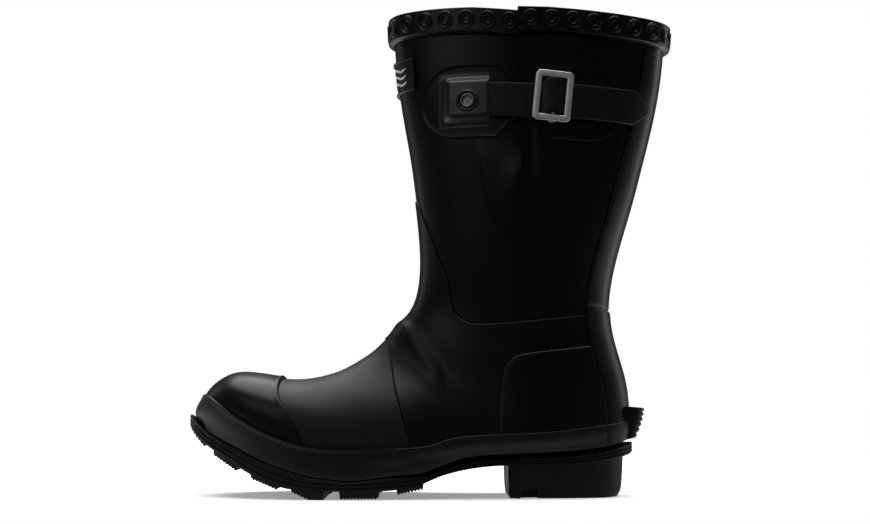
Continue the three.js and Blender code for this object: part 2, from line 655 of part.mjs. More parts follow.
// x along the strap, y up the pin, z out of the boot.
const buckleFrame3 = new THREE.Matrix4()
  .makeBasis(buckleUp.clone().cross(buckleOut), buckleUp, buckleOut)
  .setPosition(buckleSeat);

function roundedBox(width, height, corner) {
  const [w, h] = [width / 2, height / 2];
  const shape = new THREE.Shape();
  [[w, h, 0], [-w, h, 1], [-w, -h, 2], [w, -h, 3]].forEach(([x, y, quarter]) => {
    const [cx, cy] = [x - Math.sign(x) * corner, y - Math.sign(y) * corner];
    shape.absarc(cx, cy, corner, (quarter * Math.PI) / 2, ((quarter + 1) * Math.PI) / 2, false);
  });
  return shape;
}

const FRAME_BACK = 6.2; // the buckle frame's inner face over the skin

// A round bar along the pin's axis, in the buckle's own frame.
function pinBar(radius, long) {
  return solid(new THREE.CylinderGeometry(radius, radius, long, 16).translate(0, 0, PIN.rise));
}

function buckleFrame() {
  const plate = (w, h, r, z0, z1) => {
    const shape = roundedBox(w, h, r);
    const options = { depth: z1 - z0, bevelEnabled: false, curveSegments: 4 };
    return solid(new THREE.ExtrudeGeometry(shape, options).translate(0, 0, z0));
  };
  const face = FRAME_BACK + BUCKLE.thick;
  const ring = plate(BUCKLE.wide, BUCKLE.high, BUCKLE.corner, FRAME_BACK, face).subtract(
    plate(BUCKLE.wide - 2 * BUCKLE.bar, BUCKLE.high - 2 * BUCKLE.bar, 1.4, 0, 12),
  );
  const earAt = BUCKLE.high / 2 - 1.9;
  const [earLow, earHigh] = [PIN.rise - EAR.reach, FRAME_BACK + 0.6];
  const ears = [-1, 1].map((side) => {
    const ear = new THREE.BoxGeometry(EAR.wide, EAR.thick, earHigh - earLow);
    return solid(ear.translate(0, side * earAt, (earHigh + earLow) / 2));
  });
  const bore = pinBar(PIN.radius + 0.05, 60);
  return ring.add(ears[0]).add(ears[1]).subtract(bore).transform(buckleFrame3.elements);
}

const bucklePin = () => pinBar(PIN.radius, BUCKLE.high - 1.4).transform(buckleFrame3.elements);

// A rubber tab bonded to the rear patch and looped round the pin.
function buckleLoop() {
  const [inner, outer] = [PIN.radius + GAP, PIN.radius + GAP + LOOP.thick];
  const floor = PIN.rise - outer;
  const shape = new THREE.Shape();
  shape.moveTo(LOOP.end, floor - 0.35);
  shape.lineTo(LOOP.end, floor + 1.2);
  shape.lineTo(7, floor + 1.7);
  shape.quadraticCurveTo(4, floor + 1.9, 1.6, PIN.rise + outer * 0.78);
  shape.absarc(0, PIN.rise, outer, 0.9, Math.PI * 1.5, false);
  shape.lineTo(8, floor);
  const eye = new THREE.Path().absarc(0, PIN.rise, inner, 0, Math.PI * 2, true);
  shape.holes.push(eye);
  const options = { depth: LOOP.width, bevelEnabled: false, curveSegments: 8 };
  const made = new THREE.ExtrudeGeometry(shape, options);
  // The shape is drawn along the strap (x) and out of the boot (y), and carried up the pin.
  made.translate(0, 0, -LOOP.width / 2).rotateX(Math.PI / 2);
  return solid(made).transform(buckleFrame3.elements).subtract(skinBody(0.5, 5, GAP + PATCH + GAP * 0.7));
}

// ---------------------------------------------------------------- materials and assembly
const finish = (name, color, roughness, metalness = 0) =>
  new THREE.MeshStandardMaterial({ name, color, roughness, metalness });
const RUBBER_BLACK = finish("upper_rubber", 0x0c0c0d, 0.42);
const SOLE_BLACK = finish("sole_rubber", 0x101011, 0.72);
const STRAP_BLACK = finish("strap_rubber", 0x111112, 0.55);
const TEXTILE = finish("lining_textile", 0x1b1b1d, 0.95);
const BOARD = finish("insole_board", 0x3a3128, 0.9);
const STEEL = finish("metal", 0x8c8a87, 0.34, 1);
const LABEL_RUBBER = finish("label_rubber", 0x161617, 0.5);

const boot = new THREE.Group();
function add(name, material, made) {
  const mesh = new THREE.Mesh(geometryOf(made), material);
  mesh.name = name;
  boot.add(mesh);
}

add("leg_shell", RUBBER_BLACK, legShell());
add("quarter_shell", RUBBER_BLACK, quarterShell());
add("vamp_shell", RUBBER_BLACK, vampShell());
add("sock_lining", TEXTILE, sockLining());
add("toe_cap", RUBBER_BLACK, toeCap());
add("heel_counter_outer", RUBBER_BLACK, heelCounter(-1));
add("heel_counter_inner", RUBBER_BLACK, heelCounter(1));
add("back_strip", RUBBER_BLACK, backStrip());
add("heel_strip", RUBBER_BLACK, heelStrip());
add("foxing_band", RUBBER_BLACK, foxingBand());
add("outsole", SOLE_BLACK, outsole());
add("midsole", SOLE_BLACK, midsole());
add("heel_block", SOLE_BLACK, heelPart(TOP_PIECE + GAP, 40));
add("heel_top_piece", SOLE_BLACK, heelPart(0, TOP_PIECE));
add("heel_spur", SOLE_BLACK, heelSpur());
add("shank", STEEL, shankBar(0));
add("insole_board", BOARD, insoleBoard());
add("footbed", TEXTILE, footbed());
add("gusset_panel", TEXTILE, gussetPanel());
add("rim_band", RUBBER_BLACK, rimBand());
add("label_plate", LABEL_RUBBER, labelPlate());
add("label_frame", RUBBER_BLACK, labelFrame());
add("strap_patch_front", RUBBER_BLACK, strapPatchFront());
add("strap_patch_rear", RUBBER_BLACK, strapPatchRear());
add("strap_cover", RUBBER_BLACK, strapCover());
add("strap", STRAP_BLACK, strap());
add("strap_end", STRAP_BLACK, strapEnd());
add("buckle_loop", STRAP_BLACK, buckleLoop());
add("buckle_frame", STEEL, buckleFrame());
add("buckle_pin", STEEL, bucklePin());
add("rivet_stud", STEEL, rivetStud());
add("rivet_washer", STEEL, rivetWasher());

export default boot;
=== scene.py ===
import json
import math

import bmesh
import bpy
import numpy as np
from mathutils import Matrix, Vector
from mathutils.bvhtree import BVHTree


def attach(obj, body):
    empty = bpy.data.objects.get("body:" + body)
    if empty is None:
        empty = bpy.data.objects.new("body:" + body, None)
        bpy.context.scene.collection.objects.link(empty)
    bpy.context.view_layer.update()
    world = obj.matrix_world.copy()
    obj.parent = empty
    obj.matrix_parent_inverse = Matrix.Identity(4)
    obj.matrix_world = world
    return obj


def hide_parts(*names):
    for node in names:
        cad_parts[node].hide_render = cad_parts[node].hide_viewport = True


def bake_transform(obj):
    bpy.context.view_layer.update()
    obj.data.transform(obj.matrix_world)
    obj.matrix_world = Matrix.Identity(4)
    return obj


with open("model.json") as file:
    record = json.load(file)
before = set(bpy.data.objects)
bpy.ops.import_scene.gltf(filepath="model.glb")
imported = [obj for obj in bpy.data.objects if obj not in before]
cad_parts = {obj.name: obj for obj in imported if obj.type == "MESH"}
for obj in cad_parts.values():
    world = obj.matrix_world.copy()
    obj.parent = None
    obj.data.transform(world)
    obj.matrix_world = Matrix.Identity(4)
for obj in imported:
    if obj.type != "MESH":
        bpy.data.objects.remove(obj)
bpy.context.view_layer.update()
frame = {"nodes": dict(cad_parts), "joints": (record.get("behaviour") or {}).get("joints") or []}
MM = 0.001
PI = math.pi


# ---------------------------------------------------------------- small tools
def in_scene(name, data):
    made = bpy.data.objects.new(name, data)
    bpy.context.scene.collection.objects.link(made)
    return made


def smoothstep(low, high, v):
    share = np.clip((v - low) / (high - low), 0, 1)
    return share * share * (3 - 2 * share)


def hump(v, middle, wide):
    """A smooth hump that is 1 at its middle."""
    return np.exp(-(((v - middle) / wide) ** 2))


def soften(values, times, axis=0):
    """Values that run round a loop, each eased towards its neighbours."""
    for _ in range(times):
        values = (np.roll(values, 1, axis=axis) + 2 * values + np.roll(values, -1, axis=axis)) / 4
    return values


def run_of(points):
    """How far along a line of points each one lies."""
    return np.concatenate([[0], np.cumsum(np.linalg.norm(np.diff(points, axis=0), axis=1))])


def stretches(*runs):
    """Places along a line, in runs of (from, to, count)."""
    return np.concatenate([np.linspace(*run) for run in runs])


def spline(points, count):
    """A smooth line through points, as count points."""
    p = np.array(points, float)
    p = np.vstack([2 * p[0] - p[1], p, 2 * p[-1] - p[-2]])
    t = np.linspace(0, len(points) - 1, count)
    i = np.clip(np.floor(t).astype(int), 0, len(points) - 2)
    u = (t - i)[:, None]
    a, b, c, d = p[i], p[i + 1], p[i + 2], p[i + 3]
    return b + 0.5 * u * (c - a + u * (2 * a - 5 * b + 4 * c - d + u * (3 * (b - c) + d - a)))


def side_of(curve, x, z):
    """Signed distance of side-view points from a line: positive to the left of its direction."""
    p = np.stack([x.ravel(), z.ravel()], axis=1)
    best, sign = np.full(len(p), 1e9), np.ones(len(p))
    for a, b in zip(curve[:-1], curve[1:]):
        along = b - a
        share = np.clip(((p - a) @ along) / max(along @ along, 1e-9), 0, 1)
        far = np.linalg.norm(p - a - share[:, None] * along, axis=1)
        side = along[0] * (p[:, 1] - a[1]) - along[1] * (p[:, 0] - a[0])
        sign = np.where(far < best, np.sign(side), sign)
        best = np.minimum(far, best)
    return (best * sign).reshape(x.shape)


def area_of(loop):
    x, y = loop[:, 0], loop[:, 1]
    return 0.5 * float(np.sum(x * np.roll(y, -1) - np.roll(x, -1) * y))


def inward(loop):
    """Unit normals of a plan loop that point into it."""
    along = np.roll(loop, -1, axis=0) - np.roll(loop, 1, axis=0)
    along /= np.maximum(np.linalg.norm(along, axis=1, keepdims=True), 1e-9)
    return np.stack([-along[:, 1], along[:, 0]], axis=1) * (1 if area_of(loop) > 0 else -1)


def even_loop(loop, count):
    """A closed loop of evenly spaced points."""
    closed = np.vstack([loop, loop[:1]])
    run = run_of(closed)
    at = np.linspace(0, run[-1], count, endpoint=False)
    return np.stack([np.interp(at, run, closed[:, k]) for k in range(closed.shape[1])], axis=1)


# ---------------------------------------------------------------- meshes
def add_mesh(name, points, faces, material, sharp=40):
    """A mesh object from millimetre points, smooth but for edges that turn more than sharp degrees."""
    mesh = bpy.data.meshes.new(name)
    mesh.from_pydata((np.asarray(points) * MM).tolist(), [], faces)
    work = bmesh.new()
    work.from_mesh(mesh)
    bmesh.ops.remove_doubles(work, verts=work.verts, dist=1e-7)
    bmesh.ops.dissolve_degenerate(work, edges=work.edges, dist=1e-8)
    bmesh.ops.recalc_face_normals(work, faces=work.faces)
    for face in work.faces:
        face.smooth = True
    for edge in work.edges:
        edge.smooth = not (edge.is_manifold and edge.calc_face_angle(0) > math.radians(sharp))
    work.to_mesh(mesh)
    work.free()
    mesh.materials.append(material)
    return in_scene(name, mesh)


def grid_faces(rows, columns, loop_rows=False, loop_columns=False, start=0, flip=False):
    """Quads that join a grid of points, row by row, closed round either way if asked."""
    r = np.arange(rows if loop_rows else rows - 1)
    c = np.arange(columns if loop_columns else columns - 1)
    r, c = np.meshgrid(r, c, indexing="ij")
    r2, c2 = (r + 1) % rows, (c + 1) % columns
    quads = np.stack([r * columns + c, r2 * columns + c, r2 * columns + c2, r * columns + c2], -1)
    quads = quads.reshape(-1, 4) + start
    return (quads[:, ::-1] if flip else quads).tolist()


def wall_mesh(name, outer, inner, material, around=False, fan=False, side_rows=None, sharp=40):
    """A closed wall between two grids of the same size. Their columns may close round, the last row of
    a fan is one point, and side_rows says how many rows have their open sides walled."""
    rows, columns = outer.shape[:2]
    count = rows * columns
    index = np.arange(count).reshape(rows, columns)
    faces = grid_faces(rows, columns, loop_columns=around)
    faces += grid_faces(rows, columns, loop_columns=around, start=count, flip=True)
    rims = [index[0]] if fan else [index[0], index[-1]]
    if around:
        rims = [np.append(rim, rim[0]) for rim in rims]
    else:
        rims += [index[:side_rows, 0], index[:side_rows, -1]]
    for rim in rims:
        faces += [(a, b, count + b, count + a) for a, b in zip(rim[:-1].tolist(), rim[1:].tolist())]
    points = np.concatenate([outer.reshape(-1, 3), inner.reshape(-1, 3)])
    return add_mesh(name, points, faces, material, sharp)


def tube_mesh(name, rings, material, loop=False, sharp=40):
    """A solid from rings of points: closed round each ring, and end to end or capped."""
    rings = np.asarray(rings)
    rows, columns = rings.shape[:2]
    faces = grid_faces(rows, columns, loop_rows=loop, loop_columns=True)
    if not loop:
        faces += [tuple(range(columns))[::-1], tuple(range((rows - 1) * columns, rows * columns))]
    return add_mesh(name, rings.reshape(-1, 3), faces, material, sharp)


def finished(piece, node=None, body="boot"):
    """Says what a piece rides on and which CAD node it stands for, hiding that node."""
    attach(piece, body)
    if node:
        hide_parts(node)


# ---------------------------------------------------------------- materials
class Nodes:
    """A short way to build a material's nodes."""

    def __init__(self, name, colour, roughness, **values):
        self.material = bpy.data.materials.new(name)
        self.material.use_nodes = True
        self.tree = self.material.node_tree
        self.shader = self.tree.nodes["Principled BSDF"]
        self.shader.inputs["Base Color"].default_value = (*colour, 1)
        self.shader.inputs["Roughness"].default_value = roughness
        for key, value in values.items():
            self.shader.inputs[key.replace("_", " ").title().replace("Ior", "IOR")].default_value = value
        self.where = self.add("ShaderNodeTexCoord").outputs["Object"]

    def fill(self, socket, value):
        if isinstance(value, bpy.types.NodeSocket):
            self.tree.links.new(value, socket)
        else:
            socket.default_value = value

    def add(self, kind, inputs=(), **settings):
        node = self.tree.nodes.new(kind)
        for key, value in settings.items():
            setattr(node, key, value)
        for key, value in dict(inputs).items():
            self.fill(node.inputs[key], value)
        return node

    def placed(self, scale=(1, 1, 1), turn=(0, 0, 0)):
        inputs = {"Vector": self.where, "Scale": scale, "Rotation": turn}
        return self.add("ShaderNodeMapping", inputs).outputs["Vector"]

    def noise(self, scale, detail=3.0, rough=0.5, where=None, distortion=0.0):
        inputs = {"Vector": where or self.where, "Scale": scale, "Detail": detail, "Roughness": rough,
                  "Distortion": distortion}
        return self.add("ShaderNodeTexNoise", inputs).outputs["Fac"]

    def wave(self, direction, turn, pitch, distortion, detail_scale):
        inputs = {"Vector": self.placed(turn=(0, 0, turn)), "Scale": 1 / pitch, "Distortion": distortion,
                  "Detail": 2.0, "Detail Scale": detail_scale}
        return self.add("ShaderNodeTexWave", inputs, bands_direction=direction).outputs["Fac"]

    def spread(self, value, low, high, to_low, to_high):
        inputs = {"Value": value, "From Min": low, "From Max": high, "To Min": to_low, "To Max": to_high}
        return self.add("ShaderNodeMapRange", inputs).outputs["Result"]

    def maths(self, operation, a, b):
        return self.add("ShaderNodeMath", {0: a, 1: b}, operation=operation).outputs[0]

    def mixed(self, share, a, b):
        made = self.add("ShaderNodeMix", data_type="RGBA")
        for key, value in (("Factor", share), ("A", (*a, 1)), ("B", (*b, 1))):
            self.fill(next(i for i in made.inputs if i.name == key and i.enabled), value)
        return next(o for o in made.outputs if o.enabled)

    def bump(self, height, strength, depth, after=None):
        inputs = {"Height": height, "Strength": strength, "Distance": depth}
        if after is not None:
            inputs["Normal"] = after
        return self.add("ShaderNodeBump", inputs).outputs["Normal"]

    def join(self, key, value):
        self.tree.links.new(value, self.shader.inputs[key])


def rubber(name, colour, worn, roughness, grain, dust=0.3, gloss=0.2):
    """Moulded rubber: nearly black, with soft streaks, dusty patches and a fine skin. Some materials below
    pass lightened colours, which are painted light.
    """
    m = Nodes(name, colour, roughness, specular_ior_level=gloss)
    cloud = m.noise(26, 5, 0.6, distortion=0.4)
    streak = m.noise(38, 4, 0.6, m.placed((1.0, 1.0, 0.18)))
    specks = m.noise(900, 2, 0.6)
    wear = m.maths("MULTIPLY", m.spread(cloud, 0.45, 0.78, 0, 1), m.spread(specks, 0.42, 0.7, 0.25, 1))
    m.join("Base Color", m.mixed(m.maths("MULTIPLY", wear, dust), colour, worn))
    soft = m.spread(streak, 0.3, 0.72, roughness - 0.05, roughness + 0.06)
    m.join("Roughness", m.maths("ADD", soft, m.spread(specks, 0.5, 0.85, 0.0, 0.08)))
    fine = m.bump(m.noise(2600, 2, 0.55), grain, 0.00006)
    m.join("Normal", m.bump(m.noise(140, 3, 0.5), 0.18, 0.0004, fine))
    return m.material


def steel(name, colour, roughness):
    """Brushed steel: fine scratches along one direction, stained in places."""
    m = Nodes(name, colour, roughness, metallic=1.0, anisotropic=0.5)
    scratches = m.noise(900, 4, 0.7, m.placed((1, 1, 0.03)))
    m.join("Roughness", m.spread(scratches, 0.3, 0.7, roughness - 0.06, roughness + 0.12))
    stain = m.spread(m.noise(220, 3, 0.6), 0.45, 0.75, 0, 0.6)
    m.join("Base Color", m.mixed(stain, colour, tuple(0.7 * c for c in colour)))
    m.join("Normal", m.bump(scratches, 0.25, 0.00003))
    return m.material


def knit(name, colour, worn, pitch):
    """Knitted polyester: rows of small loops with a short nap."""
    m = Nodes(name, colour, 0.95, sheen_weight=0.15, specular_ior_level=0.2)
    weave = m.maths("MULTIPLY", m.wave("Z", 0, pitch, 1.2, 3.0), m.wave("X", 0.78, pitch, 1.0, 1.0))
    m.join("Base Color", m.mixed(m.maths("MULTIPLY", weave, m.noise(60, 4, 0.6)), colour, worn))
    m.join("Normal", m.bump(weave, 0.6, 0.0004, m.bump(m.noise(1500, 3, 0.6), 0.5, 0.0002)))
    return m.material


def board(name, colour, worn):
    """Pressed fibre board: short fibres lying every way."""
    m = Nodes(name, colour, 0.9, specular_ior_level=0.2)
    fibres = m.noise(420, 6, 0.75, m.placed((1, 0.3, 1)), 1.5)
    m.join("Base Color", m.mixed(m.spread(fibres, 0.35, 0.7, 0, 1), colour, worn))
    m.join("Normal", m.bump(fibres, 0.5, 0.0003))
    return m.material


def grey(level, tint=0.0):
    return level, level, level + tint


UPPER = rubber("upper_rubber", grey(0.0016, 0.0001), grey(0.0055), 0.36, 0.10)
SMOOTH = rubber("overlay_rubber", grey(0.0015, 0.0001), grey(0.0050), 0.33, 0.08)
# A lighter copy of the upper rubber. Its raised base and worn colours are painted light, standing in for the
# broad highlight that spreads down the vamp's sides. The random patches that mix them are dust.
VAMP = rubber("vamp_rubber_painted_light", grey(0.0060, 0.0001), grey(0.026), 0.47, 0.14, 0.8)
# A lighter copy of the upper rubber. Its raised base and worn colours are painted light, standing in for
# frontal light on the foxing. The random patches that mix them are dust.
BINDING = rubber("foxing_rubber_painted_light", grey(0.0048, 0.0001), grey(0.014), 0.46, 0.14, 0.5, 0.14)
GLOSSY = rubber("cover_rubber", grey(0.0016, 0.0001), grey(0.0060), 0.36, 0.08, 0.3, 0.55)
SOLE = rubber("sole_rubber", grey(0.0016, 0.0001), grey(0.007, -0.0002), 0.6, 0.35, 0.7, 0.12)
# A lighter copy of the upper rubber, used for the strap, the label face and the buckle loop. Its raised base
# and worn colours are painted light, standing in for frontal light. The random patches that mix them are
# dust.
BAND = rubber("strap_rubber", grey(0.0080, 0.0001), grey(0.022), 0.44, 0.16)
LINING_KNIT = knit("lining_textile", grey(0.010, 0.001), grey(0.024, 0.002), 0.0011)
FOOTBED_KNIT = knit("footbed_textile", grey(0.012, 0.001), grey(0.030, 0.001), 0.0016)
BOARD = board("insole_board", (0.045, 0.034, 0.023), (0.090, 0.070, 0.048))
PRINT = board("label_print", grey(0.62, -0.02), grey(0.70, -0.02))
BRUSHED = steel("brushed_metal", (0.82, 0.81, 0.78), 0.36)
STUD = steel("stud_metal", grey(0.17, -0.005), 0.36)

# ---------------------------------------------------------------- camera
# The boot is seen from its outer side, from low down and 0.9 m away, looking up a little.
CAMERA_AT = (-0.0803, -0.9, 0.053)
CAMERA_TILT = 6.0
CAMERA_LENS = 58.5


def make_camera():
    data = bpy.data.cameras.new("camera")
    data.lens, data.sensor_width = CAMERA_LENS, 36.0
    data.clip_start, data.clip_end = 0.05, 50
    camera = in_scene("camera", data)
    camera.location = CAMERA_AT
    camera.rotation_euler = (math.radians(90 + CAMERA_TILT), 0, 0)
    bpy.context.scene.camera = camera


make_camera()

# ---------------------------------------------------------------- the boot's skin
# Sections fan round the ankle: level at the rim, slanting through the instep, upright at the toe.
# Each row is a section's front and back point in side view, its half width, its sideways shift,
# where its widest place lies from back (0) to front (1), and how square its back and front are.
SECTIONS = np.array([
    # front x, z    back x, z     half  shift widest back  front
    (-107.0, 302.0, 68.0, 298.5, 40.0, 0.0, 0.50, 2.3, 2.2),
    (-105.8, 273.0, 65.4, 270.5, 40.0, 0.0, 0.50, 2.3, 2.2),
    (-101.8, 247.0, 60.8, 246.5, 40.0, 0.0, 0.50, 2.3, 2.2),
    (-97.0, 219.0, 54.6, 219.0, 40.0, 0.0, 0.50, 2.3, 2.2),
    (-93.4, 192.0, 47.0, 191.0, 39.4, 0.0, 0.50, 2.3, 2.2),
    (-90.3, 168.0, 39.4, 166.0, 38.4, 0.0, 0.50, 2.3, 2.2),
    (-89.1, 149.0, 33.0, 143.0, 37.2, 0.0, 0.49, 2.3, 2.2),
    (-90.2, 132.0, 29.1, 120.0, 36.2, 0.0, 0.47, 2.3, 2.2),
    (-94.7, 117.0, 30.6, 101.0, 35.6, 0.0, 0.45, 2.3, 2.15),
    (-103.3, 108.0, 35.0, 84.0, 35.6, 0.0, 0.43, 2.3, 2.1),
    (-110.5, 100.0, 39.2, 67.0, 36.2, 0.0, 0.41, 2.4, 2.1),
    (-116.5, 93.5, 39.8, 50.0, 36.8, 0.0, 0.39, 2.7, 2.1),
    (-122.5, 88.5, 37.4, 34.5, 37.4, -0.5, 0.36, 3.2, 2.1),
    (-129.5, 84.0, 14.0, 29.0, 38.0, -1.0, 0.34, 4.2, 2.1),
    (-138.0, 79.0, -24.0, 27.0, 39.5, -1.5, 0.33, 5.0, 2.15),
    (-148.5, 75.3, -62.0, 24.5, 41.5, -1.5, 0.34, 5.4, 2.2),
    (-161.0, 73.0, -96.0, 15.6, 44.5, -1.0, 0.36, 5.6, 2.2),
    (-174.5, 73.2, -128.0, 11.2, 46.8, 0.5, 0.38, 5.6, 2.25),
    (-186.5, 75.0, -155.0, 12.8, 46.4, 2.5, 0.40, 5.4, 2.3),
    (-197.0, 76.3, -177.0, 19.8, 43.6, 4.5, 0.42, 5.0, 2.35),
    (-206.0, 76.0, -194.0, 26.8, 39.2, 6.0, 0.44, 4.4, 2.4),
    (-214.0, 72.6, -207.0, 33.0, 33.2, 7.2, 0.46, 3.6, 2.4),
    (-220.8, 67.4, -216.6, 38.4, 26.0, 8.0, 0.48, 3.0, 2.3),
    (-225.4, 61.0, -224.4, 44.0, 17.8, 8.6, 0.50, 2.4, 2.2),
    (-228.5, 56.0, -228.8, 48.4, 9.0, 9.0, 0.50, 2.1, 2.1),
    (-229.6, 52.2, -229.6, 52.2, 0.0, 9.0, 0.50, 2.0, 2.0),
])
TOE_TIP = len(SECTIONS) - 1
FINE = 12  # rows of the skin's grid per section
AROUND = 288  # columns of the skin's grid, from the front by the outer side to the back and round


HALF = AROUND // 2
ROW_T = np.linspace(0, TOE_TIP, TOE_TIP * FINE + 1)


def padded_sections():
    """The rows with two more past each end: a straight run above the rim, and the mirrored toe."""
    rim = [2 * SECTIONS[0] - SECTIONS[k] for k in (2, 1)]
    toe = []
    for k in (1, 2):
        fx, fz, bx, bz, half, *rest = SECTIONS[TOE_TIP - k]
        toe.append([bx, bz, fx, fz, -half, *rest])
    rows = np.vstack([rim, SECTIONS, toe])
    eased = rows.copy()
    eased[1:-1] -= (rows[2:] - 2 * rows[1:-1] + rows[:-2]) / 6
    return eased


def spline_rows(t):
    """Sections at t by a smooth cubic spline that passes close by the rows."""
    rows = padded_sections()
    i = np.clip(np.floor(t).astype(int), 0, TOE_TIP - 1)
    u = (t - i)[:, None]
    weights = [(1 - u) ** 3, 3 * u**3 - 6 * u**2 + 4, -3 * u**3 + 3 * u**2 + 3 * u + 1, u**3]
    return sum(w * rows[i + 1 + k] for k, w in enumerate(weights)) / 6


def section_ring(row):
    """A section's outline, evenly spaced round it, as AROUND points."""
    fx, fz, bx, bz, half, shift, widest, back, front = row
    angle = np.linspace(0, PI, 1200)
    c, s = np.cos(angle), np.sin(angle)
    power = 2 / np.where(c > 0, front, back)
    reach = np.abs(c) ** power
    share = np.where(c > 0, widest + (1 - widest) * reach, widest * (1 - reach))
    line = np.stack([share * math.hypot(fx - bx, fz - bz), max(half, 0) * np.abs(s) ** power], axis=1)
    run = run_of(line)
    at = np.linspace(0, run[-1], HALF + 1)
    side = np.stack([np.interp(at, run, share), np.interp(at, run, line[:, 1])], axis=1)
    share, wide = soften(np.vstack([side, side[-2:0:-1] * [1, -1]]), 6).T
    return np.stack([bx + (fx - bx) * share, shift - wide, bz + (fz - bz) * share], axis=1)


def grid_normals(grid):
    """Outward normals of a grid that is closed along its second axis and runs into the toe's tip."""
    normal = np.cross(np.gradient(grid, axis=0), np.roll(grid, -1, axis=1) - np.roll(grid, 1, axis=1))
    normal = normal / np.maximum(np.linalg.norm(normal, axis=2, keepdims=True), 1e-9)
    normal[-1] = normal[-2].mean(axis=0) / np.linalg.norm(normal[-2].mean(axis=0))
    return normal


# ---------------------------------------------------------------- lines of the side view
LEG_EDGE = spline(
    [(-130, 200), (-110, 195), (-94, 189), (-86.5, 172), (-79, 151), (-72.5, 134), (-69, 116), (-62, 108.4),
     (-50, 106.2), (-20, 108.4), (14, 112.2), (60, 117)], 90)
INSTEP_LINE = spline(
    [(-122, 112), (-111, 96), (-107.6, 82), (-104.6, 66), (-98.5, 45), (-95, 30), (-94, -5)], 50)
FOXING_TOP = spline(
    [(-250, 66), (-232, 64.5), (-219, 61.5), (-202, 50), (-181, 39), (-159, 31.6), (-136, 29.6), (-102, 30.6),
     (-84, 32.2), (-70, 36.6), (-52, 38.4), (-11, 40.4), (24, 44.6), (60, 49.5)], 120)
SOLE_LINE = spline(
    [(-245, 60), (-236.5, 51.5), (-230, 46.6), (-222.4, 40.6), (-212, 35), (-203, 31), (-184, 22.4),
     (-160, 14.6), (-143.6, 12.0), (-128, 11.0), (-106, 13.8), (-88, 15.8), (-74, 21), (-60, 25), (-40, 26.6),
     (-5, 28.2), (20, 30.8), (33, 34), (42, 36.4), (60, 40.5)], 120)
PLATE_UNDER = spline(
    [(-240, 47), (-236, 43), (-226, 34.5), (-219.5, 30.1), (-208, 23.5), (-196, 16.6), (-183, 10.5),
     (-170, 6.6), (-158, 5.2), (-145, 5.0), (-120, 5.0), (-104, 5.6), (-90, 8.2), (-76, 13.8), (-60, 17.6),
     (-42, 19.6), (-20, 19.8), (10, 20.8), (38, 25.6), (50, 33)], 120)
BACK_EDGE = spline(
    [(54.5, 312), (51.5, 270), (41, 225), (28, 178), (17.5, 143), (13, 116), (15, 92), (23.4, 63),
     (25.4, 20)], 80)
TOE_CAP_EDGE = spline(
    [(-172, 84), (-176, 70), (-174.8, 61), (-168, 49.4), (-164.8, 43.8), (-160, 34), (-156, 20),
     (-153, 2)], 50)
GUSSET_LINE = spline(
    [(-53.5, 262), (-52.8, 211), (-50.9, 193.8), (-46.3, 178.6), (-40, 167), (-32, 161.6), (-24, 161),
     (-15, 164.4), (-6, 173), (0.4, 185), (1.4, 211), (1.4, 262)], 90)
CREASE = spline([(-104, 108), (-98, 102.5), (-89, 89), (-80.9, 76.3), (-79, 66)], 20)
SLIT_X = -27.5
SLIT_BOTTOM = 198.0


def line_height(line):
    """The height of a side-view line at any x."""
    return lambda x: np.interp(x, line[:, 0], line[:, 1])


def line_place(line):
    """The x of a falling side-view line at any height."""
    return lambda z: np.interp(z, line[::-1, 1], line[::-1, 0])


foxing_top, sole_line, plate_under = map(line_height, (FOXING_TOP, SOLE_LINE, PLATE_UNDER))
back_edge, toe_cap_edge = map(line_place, (BACK_EDGE, TOE_CAP_EDGE))


def relief(grid):
    """How far the rubber stands off its plain form: creases, the folded gusset below, slack."""
    x, y, z = np.moveaxis(grid, -1, 0)
    bulge = 1.1 * smoothstep(-0.9, 1.1, side_of(GUSSET_LINE, x, z)) * smoothstep(226, 206, z)
    pinch = 1.6 * hump(x, -31, 6) * hump(z, 193, 11)
    sink = 0.6 * hump(x, -21.5, 3.2) * smoothstep(190, 205, z) * smoothstep(256, 236, z)
    gap = side_of(CREASE, x, z)
    fold = 0.7 * hump(gap, 0, 4.5) * smoothstep(62, 80, z) * smoothstep(118, 104, z)
    dips = 0.5 * hump(gap, -8, 5.5) + 0.45 * hump(gap, 8, 5.5)
    dips *= smoothstep(60, 80, z) * smoothstep(118, 100, z)
    slack = np.sin(x / 17 + z / 31 + 1.3) * np.sin(z / 23 - x / 41)
    slack += 0.6 * np.sin(z / 11 + y / 19 + 2.0) * np.sin(x / 13.0)
    return (bulge + pinch - sink) * smoothstep(5, -15, y) + fold - dips + 0.22 * slack * smoothstep(10, 40, z)


def make_skin():
    grid = np.array([section_ring(row) for row in spline_rows(ROW_T)])
    lift = relief(grid) * smoothstep(TOE_TIP, TOE_TIP - 2, ROW_T)[:, None]
    grid = grid + grid_normals(grid) * lift[..., None]
    return grid, grid_normals(grid)


SKIN, NORMAL = make_skin()


def gather(field, t, u):
    """Values of a grid field at section t and at u, the share of the way round, smoothly."""
    rows, columns = np.broadcast_arrays(np.asarray(t, float) * FINE, np.asarray(u, float) * AROUND)
    i = np.clip(np.floor(rows).astype(int), 0, len(field) - 2)
    j = np.floor(columns).astype(int)

    def weights(s):
        before, after = -s + 2 * s**2 - s**3, s**3 - s**2
        return enumerate((before, 2 - 5 * s**2 + 3 * s**3, s + 4 * s**2 - 3 * s**3, after))

    total = 0
    for m, down in weights((rows - i)[..., None]):
        row = i + m - 1
        for n, across in weights((columns - j)[..., None]):
            column = (j + n - 1) % AROUND
            past_rim = (row < 0)[..., None] * (field[0, column] - field[1, column])
            total = total + down * across * (field[np.clip(row, 0, len(field) - 1), column] + past_rim)
    return total / 4


